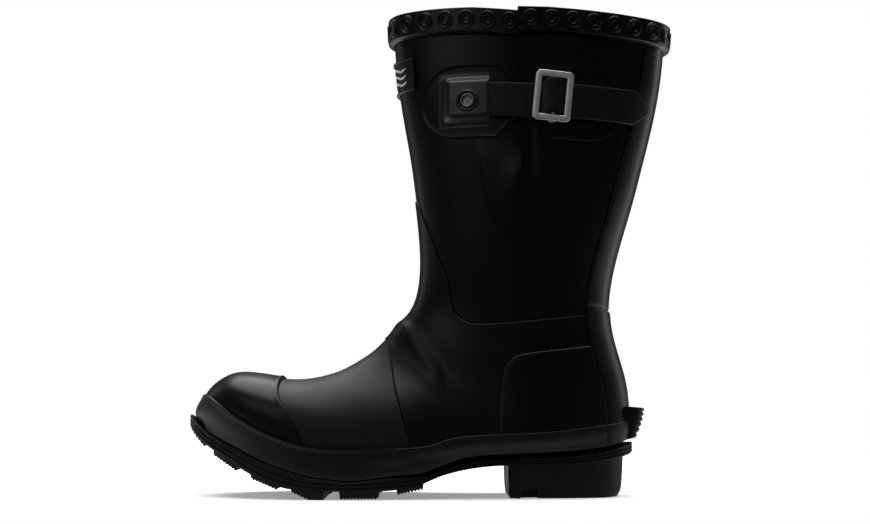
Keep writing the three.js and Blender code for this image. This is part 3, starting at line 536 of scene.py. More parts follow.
def skin(t, u, offset=0.0):
    """Points of the skin moved out by offset, at section t and share u of the way round."""
    normal = gather(NORMAL, t, u)
    normal = normal / np.linalg.norm(normal, axis=-1, keepdims=True)
    return gather(SKIN, t, u) + normal * np.broadcast_to(offset, normal.shape[:-1])[..., None]


EDGE_ROWS = np.array([0, 0.06, 0.22, 0.46, 0.8, 1.2, 1.8])  # rows crowd this far in from an edge


class Chart:
    """The skin as columns that begin at u = start(t) and run once round, with each column's length."""

    def __init__(self, start=None, columns=AROUND):
        self.start = np.zeros(len(ROW_T)) if start is None else start
        self.share = np.linspace(0, 1, columns + 1)
        self.points = skin(ROW_T[:, None], self.start[:, None] + self.share)
        step = np.linalg.norm(np.diff(self.points, axis=0), axis=2)
        self.length = np.vstack([np.zeros(columns + 1), np.cumsum(step, axis=0)])

    def crossing(self, line, low, high):
        """The section t, between low and high, where each column crosses a side-view line."""
        rows = np.arange(int(low * FINE), int(high * FINE) + 1)
        value = side_of(line, self.points[rows, :, 0], self.points[rows, :, 2])
        change = np.sign(value[:-1]) != np.sign(value[1:])
        found = np.full(len(self.share), np.nan)
        for j in np.nonzero(change.any(axis=0))[0]:
            k = np.argmax(change[:, j])
            found[j] = (rows[k] + value[k, j] / (value[k, j] - value[k + 1, j])) / FINE
        known = ~np.isnan(found)
        return np.interp(self.share, self.share[known], found[known])

    def rows(self, top, bottom, spacing):
        """Sections and shares round for rows from top to bottom, crowded near both ends, and how
        far each is from the top and from the bottom."""
        columns = range(len(self.share))
        low, high = [np.array([np.interp(end[j], ROW_T, self.length[:, j]) for j in columns])
                     for end in (top, bottom)]
        long = np.maximum(high - low, 0)
        near = EDGE_ROWS[:, None] * np.clip(long / (2.5 * EDGE_ROWS[-1]), 0, 1)
        middle = np.linspace(0, 1, max(int(long.max() / spacing), 2) + 1)[1:-1, None]
        down = np.vstack([near, near[-1] + (long - 2 * near[-1]) * middle, (long - near)[::-1]])
        t = np.array([np.interp(low[j] + down[:, j], self.length[:, j], ROW_T) for j in columns]).T
        return t, np.interp(t, ROW_T, self.start) + self.share, down, long - down


def lip(distance, radius=1.0):
    """A rounded edge: 0 at no distance, 1 from radius on."""
    return np.sqrt(1 - (1 - np.clip(distance / radius, 0, 1)) ** 2)


# The skin as triangles, to cast rays at.
QUADS = np.array(grid_faces(*SKIN.shape[:2], loop_columns=True))
TRIANGLES = np.concatenate([QUADS[:, [0, 3, 2]], QUADS[:, [0, 2, 1]]])
TREE = BVHTree.FromPolygons(SKIN.reshape(-1, 3).tolist(), TRIANGLES.tolist())


def cast(origins, directions):
    """Where rays meet the skin, and the smooth outward normals there."""
    points, normals = SKIN.reshape(-1, 3), NORMAL.reshape(-1, 3)
    hits = np.full((len(origins), 3), np.nan)
    outward = hits.copy()
    for k, (origin, direction) in enumerate(zip(origins, directions)):
        hit, _, face, _ = TREE.ray_cast(Vector(origin), Vector(direction))
        if hit is None:
            continue
        corners = TRIANGLES[face]
        hits[k] = hit
        gaps = points[corners] - hits[k]
        areas = np.array([np.linalg.norm(np.cross(gaps[i - 2], gaps[i - 1])) for i in range(3)])
        outward[k] = (areas @ normals[corners]) / max(areas.sum(), 1e-12)
    return hits, outward / np.linalg.norm(outward, axis=1, keepdims=True)


SIDE_FROM = 300.0  # rays at the boot's sides start this far out


def on_side(x, z, offset=0.0, side=-1):
    """Points over side-view places (x, z), moved out by offset: side is -1 for the boot's outer side
    and 1 for its inner one."""
    x, z, offset = np.broadcast_arrays(np.asarray(x, float), z, offset)
    start = np.stack([x.ravel(), np.full(x.size, SIDE_FROM * side), z.ravel()], axis=1)
    hits, outward = cast(start, np.tile([0.0, -side, 0.0], (x.size, 1)))
    return (hits + outward * offset.reshape(-1, 1)).reshape(*x.shape, 3)


# ---------------------------------------------------------------- upper
QUARTER_STEP = 0.8  # the quarter stands this proud of the leg and the vamp
WALL = 2.2
LINING = 3.4  # the textile's inner face below the skin
BAND_FOOT = 1.1  # inner face of what lies on the quarter
BAND_TOP = 2.6  # the foxing's outer face
BOND = 0.1  # what lies on the rubber stands this far off it
RIM_T = 0.055  # the section at which the leg's rubber ends
ROW_GAP = 2.2  # between a mesh's rows, away from its edges


def slit_start():
    """Where the slit's line lies round the skin, in each row; below the slit it keeps its last place."""
    share = np.arange(HALF + 1) / AROUND
    where = np.array([np.interp(SLIT_X, row[:HALF + 1, 0], share) for row in SKIN])
    last = np.nonzero(SKIN[:, AROUND // 4, 2] > SLIT_BOTTOM - 12)[0][-1]
    where[last:] = where[last]
    return where


SLIT_U = slit_start()
PLAIN = Chart()
SPLIT = Chart(SLIT_U)
QUARTER_HIGH = PLAIN.crossing(LEG_EDGE, 2, 9)
QUARTER_LOW = PLAIN.crossing(INSTEP_LINE, 8, 18)


def slit_step(share, z):
    """The rear edge lies over the front one at the rim; lower down the front one stands proud."""
    opened = smoothstep(SLIT_BOTTOM - 2, SLIT_BOTTOM + 16, z)
    rear, front = np.exp(-share * AROUND / 5), np.exp(-(1 - share) * AROUND / 5)
    return opened * (0.9 * rear - 0.5 * front) + hump(z, SLIT_BOTTOM + 5, 9) * (1.5 * front - 0.7 * rear)


def make_leg():
    t, u, down, up = SPLIT.rows(np.full(len(SPLIT.share), RIM_T), SPLIT.crossing(LEG_EDGE, 2, 9), ROW_GAP)
    z = gather(SKIN, t, u)[..., 2]
    step = slit_step(SPLIT.share + 0 * t, z)
    outer = skin(t, u, step + 0.35 * (lip(down, 1.0) - 1) + 0.25 * (lip(up, 0.8) - 1))
    inner = skin(t, u, step - WALL)
    # The rear edge reaches forward over the front one, as far as the rubber's own step lets it.
    opened = smoothstep(SLIT_BOTTOM - 1, SLIT_BOTTOM + 40, z[:, 0])
    closed = z[:, 0] < SLIT_BOTTOM
    for wall in (outer, inner):
        for k in range(4):
            wall[:, k, 0] -= 0.9 * opened * (1 - k / 4)
            wall[:, -1 - k, 0] -= 0.5 * opened * (1 - k / 4)
        wall[closed, -1] = wall[closed, 0]
    finished(wall_mesh("leg", outer, inner, UPPER, side_rows=int((~closed).sum()) + 1), "leg_shell")


def make_upper():
    t, u, down, up = PLAIN.rows(QUARTER_HIGH + 0.02, QUARTER_LOW, ROW_GAP)
    lift = 0.12 + (QUARTER_STEP - 0.12) * np.minimum(lip(down), lip(up))
    quarter = skin(t, u, lift)[:, :-1], skin(t, u, -WALL)[:, :-1]
    finished(wall_mesh("quarter", *quarter, UPPER, around=True), "quarter_shell")
    t, u, _, _ = PLAIN.rows(QUARTER_LOW + 0.025, np.full(len(PLAIN.share), TOE_TIP), ROW_GAP)
    vamp = skin(t, u)[:, :-1], skin(t, u, -WALL)[:, :-1]
    finished(wall_mesh("vamp", *vamp, VAMP, around=True), "vamp_shell")
    coarse = Chart(SLIT_U, HALF)
    t, u, _, _ = coarse.rows(np.full(HALF + 1, RIM_T), np.full(HALF + 1, TOE_TIP - 0.02), 4.0)
    lining = skin(t, u, -WALL - 0.3)[:, :-1], skin(t, u, -LINING)[:, :-1]
    made = wall_mesh("lining", *lining, LINING_KNIT, around=True, sharp=180)
    finished(made, "sock_lining")


make_leg()
make_upper()

# ---------------------------------------------------------------- what lies on the upper
SOLE_EDGE = spline(
    [(43.8, 0), (41, -16), (30, -29), (8, -35), (-25, -36.5), (-60, -38.5), (-95, -45), (-130, -50.4),
     (-160, -48.6), (-188, -40), (-212, -25.5), (-229.4, -9), (-236.5, 9), (-232.4, 25), (-218.6, 39),
     (-196, 48.5), (-165, 51.6), (-135, 48), (-100, 38), (-60, 33), (-25, 33.6), (8, 34), (30, 29), (41, 16),
     (43.8, 0)], 1200)
HEEL_EDGE = spline(
    [(38, 0), (35, -14), (24, -26), (5, -31.5), (-18, -32.5), (-36, -31), (-36, 29), (-18, 30), (5, 30),
     (24, 26), (35, 14), (38, 0)], 900)
# The foxing's thickness by the share of the way up it: at the front of the boot and at the rear.
FOXING_SECTION = [
    (0, 1.2, 1.1), (0.02, 1.9, 1.6), (0.06, 2.1, 1.7), (0.14, 2.1, 1.7), (0.26, 2.0, 1.65), (0.4, 1.85, 1.6),
    (0.55, 1.7, 1.55), (0.7, 1.6, 1.5), (0.82, 1.5, 1.45), (0.885, 1.5, 1.4), (0.925, 1.75, 1.35),
    (0.955, 1.9, 1.25), (0.98, 1.7, 1.0), (0.995, 0.95, 0.6), (1.0, 0.15, 0.1)]
STRIP_TOP = 1.2  # the back strips' thickness
STRIP_WIDE = 52  # about how far they reach round
CAST_FROM = 60  # rays at the upper start this far outside the sole's edge


def edges_at(loop, x):
    """The outer and inner edges of a plan outline at any x."""
    turn = np.argmin(loop[:, 0])
    return [np.interp(x, edge[:, 0], edge[:, 1]) for edge in (loop[:turn + 1][::-1], loop[turn:])]


def crowded(low, high, count):
    """Places from high down to low, crowded at both ends."""
    return (low + high) / 2 + (high - low) / 2 * np.cos(np.linspace(0, PI, count))


def make_foxing():
    """The rubber band between upper and sole: upright on the sole's edge, laid to the skin above."""
    loop = even_loop(SOLE_EDGE[:-1], 960)
    normal = inward(loop)
    towards = np.column_stack([normal, np.zeros(len(loop))])
    backward = smoothstep(-120, -70, loop[:, 0])
    # Its foot lies further in at the toe's tip, and almost at the sole's edge along the rear's sides.
    inset = 3.4 + 3.5 * smoothstep(-222, -234, loop[:, 0]) - 3.0 * backward * normal[:, 1] ** 2
    foot = loop + normal * inset[:, None]

    def skin_at(z):
        return cast(np.column_stack([loop - normal * CAST_FROM, z]), towards)

    top_x = foot[:, 0]
    for _ in range(3):
        hits, out = skin_at(foxing_top(top_x))
        good = ~np.isnan(hits[:, 0])
        top_x = np.where(good, hits[:, 0], top_x)
    places = np.arange(len(loop))
    for k in range(3):
        hits[:, k] = np.interp(places, places[good], hits[good, k])
        out[:, k] = np.interp(places, places[good], out[good, k])
    top = hits + out * BAND_FOOT
    base = np.column_stack([foot, sole_line(foot[:, 0]) + 0.1])
    outer, inner = [], []
    for share, front, rear in FOXING_SECTION:
        face = base + (top - base) * share
        x = face[:, 0].copy()
        z = sole_line(x) * (1 - share) + foxing_top(x) * share
        face[:, 2] = z
        at, over = skin_at(z)
        reach = np.einsum("ij,ij->i", np.nan_to_num(at + over * BAND_FOOT, nan=-1e6) - face, -towards)
        face -= towards * np.where(np.isnan(at[:, 0]), 0, np.clip(reach, 0, 12))[:, None]
        # It steps out over the strip up the heel and over the toe cap.
        behind = x - back_edge(z)
        step = 0.6 * smoothstep(-0.3, 0.5, behind) - 0.6 * hump(behind, -0.9, 0.6)
        step += 0.5 * smoothstep(1.5, -1.0, x - toe_cap_edge(z)) * share
        outer.append(face - towards * (front + (rear - front) * backward + step)[:, None])
        inner.append(face)
    outer, inner = [soften(np.array(grid), 2, axis=1) for grid in (outer, inner)]
    finished(wall_mesh("foxing", outer, inner, BINDING, around=True), "foxing_band")


def make_toe_cap():
    edge = PLAIN.crossing(TOE_CAP_EDGE, 14, 22)
    band = PLAIN.crossing(FOXING_TOP, 8, TOE_TIP)
    wide = np.nonzero(band > edge)[0]
    first, last = wide[wide < HALF].max(), wide[wide > HALF].min()
    kept = np.concatenate([np.arange(last, AROUND), np.arange(0, first + 1)])
    t, u, down, _ = [v[:, kept] for v in PLAIN.rows(edge, np.maximum(band + 0.12, edge), 2.0)]
    lift = 0.25 + 1.25 * lip(down, 1.6) + 0.45 * hump(down, 1.7, 0.9)
    finished(wall_mesh("toe_cap_rubber", skin(t, u, lift), skin(t, u, 0.12), SMOOTH), "toe_cap")


def edge_share(t, start):
    """Where the back strip begins in a section: the share round, from start, at which it meets BACK_EDGE."""
    u = np.linspace(start, 0.5, 140)
    points = skin(np.array([[t]]), u[None, :])[0]
    return np.interp(0, points[:, 0] - back_edge(points[:, 2]), u)


def make_strip(node, sections, foot):
    """A strip up the boot's back between the two back edges."""
    edge = EDGE_ROWS / STRIP_WIDE
    across = np.concatenate([edge, np.linspace(0.06, 0.94, 30), 1 - edge[::-1]])
    ends = np.array([[edge_share(t, start) for start in (0.25, 0.75)] for t in sections])
    t = sections[:, None] + 0 * across
    u = ends[:, :1] * (1 - across) + ends[:, 1:] * across
    middle = skin(t, u)
    run = np.array([run_of(line) for line in middle])
    down = run_of(middle[:, len(across) // 2])[:, None]
    from_side, from_end = np.minimum(run, run[:, -1:] - run), np.minimum(down, down[-1] - down)
    fall = np.minimum(lip(from_side, 0.9), lip(from_end + 0.15, 0.9))
    lift = foot + 0.1 + (STRIP_TOP - 0.1) * fall
    finished(wall_mesh(node + "_rubber", skin(t, u, lift), skin(t, u, foot), SMOOTH), node)


def make_back():
    heights = SKIN[:13 * FINE, HALF, 2]
    top, seam, base = [float(np.interp(-z, -heights, ROW_T[:13 * FINE])) for z in (288.5, 116, 38.5)]
    make_strip("back_strip", np.linspace(top, seam, 90), BOND)
    make_strip("heel_strip", np.linspace(seam + 0.06, base, 60), QUARTER_STEP + BOND)


def side_piece(node, outline, centre, foot, height, lip_radius, added, side=-1):
    """A rubber piece bonded on the boot's side: an outline in side view, laid on the skin in rings that
    crowd at the edge and run in to a centre. added gives any relief at (x, z)."""
    loop = outline if area_of(outline) > 0 else outline[::-1]
    normal = soften(inward(loop), 8)
    rings = [loop + normal * d for d in EDGE_ROWS]
    last = rings[-1]
    reach = np.linalg.norm(last - centre, axis=1).max()
    share = np.linspace(0, 1, max(int(reach / 3.0), 3) + 1)[1:]
    rings = np.array(rings + [last + (centre - last) * k for k in share])
    away = np.concatenate([EDGE_ROWS, EDGE_ROWS[-1] + reach * share])
    x, z = rings[..., 0], rings[..., 1]
    lift = foot + 0.1 + (height - 0.1) * lip(away, lip_radius)[:, None] + added(x, z)
    faces = on_side(x, z, lift, side), on_side(x, z, foot, side)
    finished(wall_mesh(node + "_rubber", *faces, SMOOTH, around=True, fan=True), node)


def make_counters():
    front = spline([(-41.6, 34), (-41.4, 52), (-40.2, 68), (-38, 78.5), (-32, 85.6), (-22, 88.2), (-4, 90.3),
                    (15.0, 92.6)], 90)
    back = [(x + 0.6, z) for x, z in BACK_EDGE if 42 < z < 92.5]
    low = [(x, foxing_top(x) - 1.5) for x in np.linspace(24, -41.6, 60)]
    outline = even_loop(np.concatenate([front, back, low]), 260)
    for node, side in (("heel_counter_outer", -1), ("heel_counter_inner", 1)):
        side_piece(node, outline, np.array([-8, 62]), QUARTER_STEP + BOND, 1.1, 2.0,
                   lambda x, z: -0.6 * smoothstep(-30, -41, x), side)


make_foxing()
make_toe_cap()
make_back()
make_counters()


# ---------------------------------------------------------------- sole
def sole_top(x):
    return sole_line(x) - 0.4 - 2.6 * smoothstep(-120, -70, x)


class Plan:
    """A plan outline as stations along x, from a round rear to a round or straight front."""

    def __init__(self, x, low, high, straight=False, across=12):
        self.count, self.across, self.straight = len(x), across, straight
        front = [(x[-1], low[-1] + (high[-1] - low[-1]) * k / across) for k in range(1, across)]
        last = self.count - (1 if straight else 2)
        inner = [(x[i], high[i]) for i in range(last, 0, -1)]
        self.loop = np.array([*zip(x, low), *(front if straight else []), *inner])
        self.normal = inward(self.loop)

    def stations(self, ring, height):
        """Rows of point numbers across a ring, from its rear to its front, and the points added inside."""
        total, last = len(ring), self.count - 1
        rows, added = [[0]], []
        for i in range(1, last):
            a, b = ring[i, :2], ring[total - i, :2]
            first = total + len(added)
            inside = [a + (b - a) * k / self.across for k in range(1, self.across)]
            added += [(x, y, height(x, y)) for x, y in inside]
            rows.append([i, *range(first, total + len(added)), total - i])
        return rows + [list(range(last, last + self.across + 1)) if self.straight else [last]], added


def plan_solid(name, plan, walls, bottom, top, material, sharp=40):
    """A solid on a plan outline: walls are rows of (inset, height at x), from its foot to its top."""
    rings = []
    for inset, height in walls:
        flat = plan.loop + plan.normal * np.broadcast_to(inset, len(plan.loop))[:, None]
        rings.append(np.column_stack([flat, height(flat[:, 0])]))
    points = np.concatenate(rings)
    count, total = len(points), len(plan.loop)
    faces = grid_faces(len(rings), total, loop_columns=True)
    for ring, first, height in ((rings[0], 0, bottom), (rings[-1], count - total, top)):
        rows, added = plan.stations(ring, height)
        rows = [[first + k if k < total else len(points) + k - total for k in row] for row in rows]
        points = np.concatenate([points, added])
        for a, b in zip(rows[:-1], rows[1:]):
            if min(len(a), len(b)) == 1:
                tip, other = sorted((a, b), key=len)
                faces += [(tip[0], other[k], other[k + 1]) for k in range(len(other) - 1)]
            else:
                faces += [(a[k], a[k + 1], b[k + 1], b[k]) for k in range(len(a) - 1)]
    return add_mesh(name, points, faces, material, sharp)


def part_way(under, over, share):
    return lambda x: under(x) + (over(x) - under(x)) * share


# The sole's side as (inset, share of its height): two grooves between rounded edges.
SIDE_RIDGES = [(5, 0), (1.6, 0.0), (0.5, 0.03), (0.0, 0.1), (0, 0.24), (0.7, 0.29), (0.7, 0.33), (0, 0.38),
               (0, 0.56), (0.6, 0.6), (0.6, 0.64), (0, 0.69), (0, 0.9), (0.4, 0.97), (1.3, 1.0), (7, 1.0)]


def make_outsole():
    x = crowded(-236.5, 43.8, 230)
    plan = Plan(x, *edges_at(SOLE_EDGE, x))
    walls = [(inset, part_way(plate_under, sole_top, share)) for inset, share in SIDE_RIDGES]
    made = plan_solid("outsole_plate", plan, walls, lambda x, y: plate_under(x),
                      lambda x, y: sole_top(x), SOLE)
    finished(made, "outsole")
    seam = [(5.2, lambda x: sole_top(x) - 0.1), (5.2, lambda x: sole_line(x) + 0.3)]
    made = plan_solid("midsole_layer", plan, seam, lambda x, y: sole_top(x) - 0.1,
                      lambda x, y: sole_line(x) - 0.1, SOLE)
    finished(made, "midsole")


# Rows of lugs from the toe back: front and back x, and the height of the bottom at each.
LUG_ROWS = [(-235.6, -223.5, 41.0, 31.0), (-217.0, -200.5, 25.0, 16.0), (-192.0, -174.5, 11.6, 5.3),
            (-166.5, -146.5, 4.0, -4.5), (-137.5, -114.0, 0.0, 0.0), (-103.5, -87.0, 2.4, 5.4)]
LUG_COLUMNS = [(0.0, 0.335), (0.385, 0.615), (0.665, 1.0)]
LUG_DRAFT = 0.6
LUG_INSET = 0.35  # from the sole's edge
RIB_PITCH = 2.0
RIB_DEEP = 1.3


def lug(front, rear, low, high, start, end):
    """Rings of one lug: drafted sides, and sawtooth ribs across its foot."""
    share = np.linspace(0, 1, max(int((rear - front) / RIB_PITCH * 4), 8) + 1)
    xs = front + (rear - front) * share
    rings = []
    for s, x, outer, inner in zip(share, xs, *edges_at(SOLE_EDGE, xs)):
        foot_x = front + LUG_DRAFT + (rear - front - 2 * LUG_DRAFT) * s
        a = outer + (inner - outer) * start + (LUG_INSET if start == 0 else 0)
        b = outer + (inner - outer) * end - (LUG_INSET if end == 1 else 0)
        rib = RIB_DEEP * (1 - abs(2 * (foot_x / RIB_PITCH % 1) - 1))
        roof = plate_under(x) + 1.2
        z = min(max(low + (high - low) * s + rib, 0), roof - 0.6)
        sides = [[(x, y, roof), (x + (foot_x - x) * 0.6, y + 0.45 * draft, z + (roof - z) * 0.3),
                  (foot_x, y + 0.8 * draft, z + 0.25)] for y, draft in ((a, LUG_DRAFT), (b, -LUG_DRAFT))]
        foot = [(foot_x, y, z) for y in np.linspace(a + LUG_DRAFT, b - LUG_DRAFT, 7)]
        rings.append(sides[0] + foot + sides[1][::-1])
    return rings


def make_lugs():
    for i, (front, rear, low, high) in enumerate(LUG_ROWS, 1):
        for k, (start, end) in enumerate(LUG_COLUMNS, 1):
            shorter = 0.5 if k == 2 else 0
            rings = lug(front + shorter, rear - shorter, low, high, start, end)
            finished(tube_mesh(f"lug_{i}_{k}", rings, SOLE, sharp=30))


TOP_PIECE = 6.0  # the heel's wearing lift
HEEL_GAP = 0.03  # half the joint between it and the block
HEEL_FRONT = -36.0
NOTCH_DEEP = 9.0


def level(z):
    return lambda x: z + 0 * x


def make_heel():
    x = crowded(HEEL_FRONT, 38, 260)
    low, high = edges_at(HEEL_EDGE, x)
    low = np.where(x < -30, np.interp(x, [HEEL_FRONT, -30], [-31, np.interp(-30, x[::-1], low[::-1])]), low)
    kept = x > HEEL_FRONT + 0.1
    line = [np.append(v[kept], end) for v, end in ((x, HEEL_FRONT), (low, -31.0), (high, 29.0))]
    plan = Plan(*line, straight=True)
    behind = np.clip(-plan.normal[:, 0], 0, 1) ** 2
    in_notch = (plan.loop[:, 0] > -28) & (plan.loop[:, 0] < -18) & (np.abs(plan.normal[:, 1]) > 0.8)

    def worn(rear):
        """How far the heel's side lies inside its plan: more at the rear, where it rounds under."""
        return 0.5 + (rear - 0.5) * (0.3 + 0.7 * behind)

    def tread(x, y):
        return 0.9 if abs(y) < 24 and (x + 100) % 6 < 2.2 and -30 < x < 24 else 0.0

    walls = [(worn(rear) + NOTCH_DEEP * in_notch, level(z))
             for z, rear in ((0, 5.1), (0.35, 3.9), (1.0, 3.2), (2.1, 2.4), (3.4, 1.7), (4.9, 1.3))]
    walls += [(worn(rear), level(z)) for z, rear in ((5.0, 1.3), (TOP_PIECE - HEEL_GAP, 1.1))]
    made = plan_solid("heel_lift", plan, walls, tread, lambda x, y: TOP_PIECE - HEEL_GAP, SOLE, 30)
    finished(made, "heel_top_piece")

    def under(x):
        return plate_under(np.clip(x, -60, 50)) + 0.8

    rise = [(1.1, 0.0), (0.8, 0.1), (0.5, 0.3), (0.3, 0.45), (0.0, 0.7), (-0.3, 0.92), (-0.7, 1.0)]
    walls = [(worn(rear), part_way(level(TOP_PIECE + HEEL_GAP), under, share)) for rear, share in rise]
    made = plan_solid("heel_stack", plan, walls, lambda x, y: TOP_PIECE + HEEL_GAP,
                      lambda x, y: under(x), SOLE, 30)
    finished(made, "heel_block")


SPUR = {"low": 36.6, "high": 55.2, "ribs": 6}
SPUR_REAR = np.array([(49.6, 55.6), (51.6, 54.6), (51.3, 52.1), (50.2, 47.1), (48.4, 42.1), (46.0, 38.0),
                      (44.4, 36.4)])


def make_spur():
    """The ribbed block behind the heel that the other foot treads on."""
    z = np.linspace(SPUR["high"], SPUR["low"], 68)
    y = np.concatenate([[-19.0, -18.9, -18.6, -18.0], np.linspace(-17, 17, 35), [18.0, 18.6, 18.9, 19.0]])
    fall = lip(19.0 - np.abs(y), 2.4)[:, None]
    yy, zz = np.meshgrid(y, z, indexing="ij")
    start = np.column_stack([np.full(yy.size, 200.0), yy.ravel(), zz.ravel()])
    hits, out = cast(start, np.tile([-1.0, 0.0, 0.0], (yy.size, 1)))
    seat = (hits + out * (BAND_TOP - 0.2)).reshape(*yy.shape, 3)
    pitch = (SPUR["high"] - SPUR["low"]) / SPUR["ribs"]
    ribs = 1.1 * (np.abs((zz - SPUR["low"]) / pitch % 1 - 0.5) * 2) ** 2
    end = np.minimum(1, np.minimum(zz - SPUR["low"] + 0.1, SPUR["high"] + 0.1 - zz) / 0.8)
    depth = np.maximum(line_place(SPUR_REAR)(z) - seat[len(y) // 2, :, 0], 3.0) * (0.55 + 0.45 * fall)
    face = seat.copy()
    face[..., 0] += depth * np.sqrt(np.clip(end, 0.05, 1)) - ribs * fall
    made = wall_mesh("heel_spur_block", face, seat - [0.6, 0, 0], SOLE, sharp=35)
    finished(made, "heel_spur")


make_outsole()
make_lugs()
make_heel()
make_spur()

# ---------------------------------------------------------------- rim band and label
RIM = {"section": 0.56, "high": 16.5, "proud": 3.7, "per_section": 29.0}
ROUNDEL = {"pitch": 13.0, "along": 4.3, "up": 4.9, "middle": 9.0, "line": 0.5}
# How much higher the rim stands, by the share of the way round: from the slit by the back and the front.
RIM_LIFT = np.array([(0, 2.3), (0.04, 2.5), (0.12, 0.8), (0.17, 0.1), (0.22, -0.1), (0.3, 0.5), (0.5, 0.7),
                     (0.7, 1.5), (0.81, 2.4), (0.93, 1.9), (0.965, 0.9), (1.0, -0.1)])


def above_rim(up, share, offset):
    """Points up the rim, round from the slit, on the skin carried straight on above its top edge."""
    t = RIM["section"] - np.asarray(up)[:, None] / RIM["per_section"] + 0 * share
    low, u = np.maximum(t, 0), share + 0 * t
    rise = skin(np.zeros_like(low), u, offset) - skin(np.full_like(low, 0.2), u, offset)
    return skin(low, u, offset) + rise * (np.minimum(t, 0) / -0.2)[..., None]


def roundel(along, up):
    """A raised ring with a smaller one in it, repeated along the band."""
    x = (along / ROUNDEL["pitch"] % 1 - 0.5) * ROUNDEL["pitch"]
    size = np.hypot(x / ROUNDEL["along"], (up - ROUNDEL["middle"]) / ROUNDEL["up"])
    line = ROUNDEL["line"] / ROUNDEL["along"]
    ring, inner = [np.exp(-(((size - share) / line) ** 4)) for share in (1.0, 0.55)]
    return 0.85 * ring + 0.6 * inner


def make_rim():
    share = np.linspace(0, 1, 1441)
    round_it = float(np.interp(0.2, ROW_T, SLIT_U)) + share
    up = stretches((0, 1.8, 8), (2.2, 15.0, 44), (15.4, RIM["high"], 8))
    along = run_of(skin(np.full_like(share, 0.2), round_it))
    along *= round(along[-1] / ROUNDEL["pitch"]) * ROUNDEL["pitch"] / along[-1]
    proud = RIM["proud"] + hump(share, 0.27, 0.08)
    step = slit_step(share, np.full_like(share, 290.0))
    over = np.clip((up - RIM["high"] + 0.9) / 0.9, 0, 1)
    bead = 0.55 * hump(up, 1.5, 1.05) - 0.8 * (1 - np.sqrt(1 - over**2))
    swell = np.sin(np.clip((up + 0.3) / 2.6, 0, 1) * PI / 2)
    offset = swell[:, None] * proud + bead[:, None] + roundel(along, up[:, None]) + step
    high = RIM["high"]
    inside = np.array([(high + 0.1, 0.4), (high - 0.3, -2.6), (high - 1.2, -3.7), (12, -3.9), (8, -3.9),
                       (4, -3.6)])
    rings = np.concatenate([above_rim([3.0], round_it, 0.1 + step[None, :]), above_rim(up, round_it, offset),
                            above_rim(inside[:, 0], round_it, inside[:, 1:] + step)])
    rings[..., 2] += np.interp(share, *RIM_LIFT.T)
    rings[..., 0] -= 1.4 * smoothstep(6, 0, np.arange(len(share)))
    finished(tube_mesh("rim_band_rubber", rings.transpose(1, 0, 2), SMOOTH, sharp=50), "rim_band")


LABEL = {"middle": 265.3, "half_high": 10.5, "half_long": 27.8, "corner": 1.6, "border": 1.7}
LEG_ROUND = 428.0  # mm round the leg at the label


def on_front(along, z, offset):
    """A point of the boot's front: mm round from its middle line (outer side positive), and height."""
    t = np.interp(-z, -SKIN[:6 * FINE, 0, 2], ROW_T[:6 * FINE])
    return skin(t, along / LEG_ROUND, offset)


def rounded_loop(half_wide, half_high, corner, inset, steps, edge):
    """A rounded rectangle as one loop of points, drawn in by inset."""
    w, h, r = half_wide - inset, half_high - inset, max(corner - inset, 0.35)
    arcs = []
    for turn, (sx, sy) in enumerate(((1, 1), (-1, 1), (-1, -1), (1, -1))):
        angle = (turn + np.linspace(0, 1, steps + 1)) * PI / 2
        arcs.append(np.column_stack([sx * (w - r) + r * np.cos(angle), sy * (h - r) + r * np.sin(angle)]))
    share = np.arange(1, edge)[:, None] / edge
    runs = [arc[-1] + (after[0] - arc[-1]) * share for arc, after in zip(arcs, arcs[1:] + arcs[:1])]
    return np.concatenate([points for pair in zip(arcs, runs) for points in pair])


def front_patch(name, material, along, z, outer, inner, node=None):
    made = wall_mesh(name, on_front(along, z, outer), on_front(along, z, inner), material)
    finished(made, node)


def make_label():
    middle, half_high, half_long = LABEL["middle"], LABEL["half_high"], LABEL["half_long"]
    rings = []
    half_section = [(0, 0.1), (0, 1.3), (0.2, 1.7), (0.45, 1.85)]
    for inset, lift in half_section + [(1.0, 1.85), (1.3, 1.7), (1.5, 1.3), (1.5, 0.1)]:
        loop = rounded_loop(half_long, half_high, LABEL["corner"], inset, 5, 20)
        rings.append(on_front(loop[:, 0], middle + loop[:, 1], lift))
    made = tube_mesh("label_border", np.array(rings).transpose(1, 0, 2), SMOOTH, loop=True, sharp=50)
    finished(made, "label_frame")
    long, high = half_long - LABEL["border"], half_high - LABEL["border"]
    along, z = np.meshgrid(np.linspace(-long, long, 150), middle + np.linspace(high, -high, 60))
    front_patch("label_face", BAND, along, z, 0.75, 0.1, "label_plate")
    along, z = np.meshgrid(np.linspace(-20.0, 20.0, 90), np.linspace(0.75, -0.75, 5))
    for k, place in ((1, "top"), (0, "middle"), (-1, "bottom")):
        line = middle + 4.4 * k + 1.3 * np.sin(along / 3.1)
        ends = np.sqrt(np.clip(1.02 - (along / 20) ** 8, 0, 1))
        front_patch("label_wave_" + place, PRINT, along, line + z * ends, 1.05, 0.7)


make_rim()
make_label()

# ---------------------------------------------------------------- strap, patches and buckle
STRAP = {"wide": 21.4, "thick": 1.8, "z": 244.4, "slope": -0.035, "x0": -46.0}
PATCH_TOP = 1.35
JOINTS = {joint["name"]: joint for joint in frame["joints"]}
PIN_AXIS = np.array(JOINTS["buckle_tilt"]["axis"])
PIN_AT = np.array(JOINTS["buckle_tilt"]["pos_m"]) / MM
PIN_RADIUS = 1.25
BUCKLE = {"wide": 23.6, "high": 31.4, "bar": 3.95, "thick": 1.8, "corner": 3.4, "back": 2.05}
BUCKLE_SHIFT = (-0.9, 1.0)  # the frame's middle from its pin's, along the strap and up
OVER_PIN = -7.4  # where the strap stands highest, pulled up and out by the pin
RIVET_AT = (-59.2, 243.9)
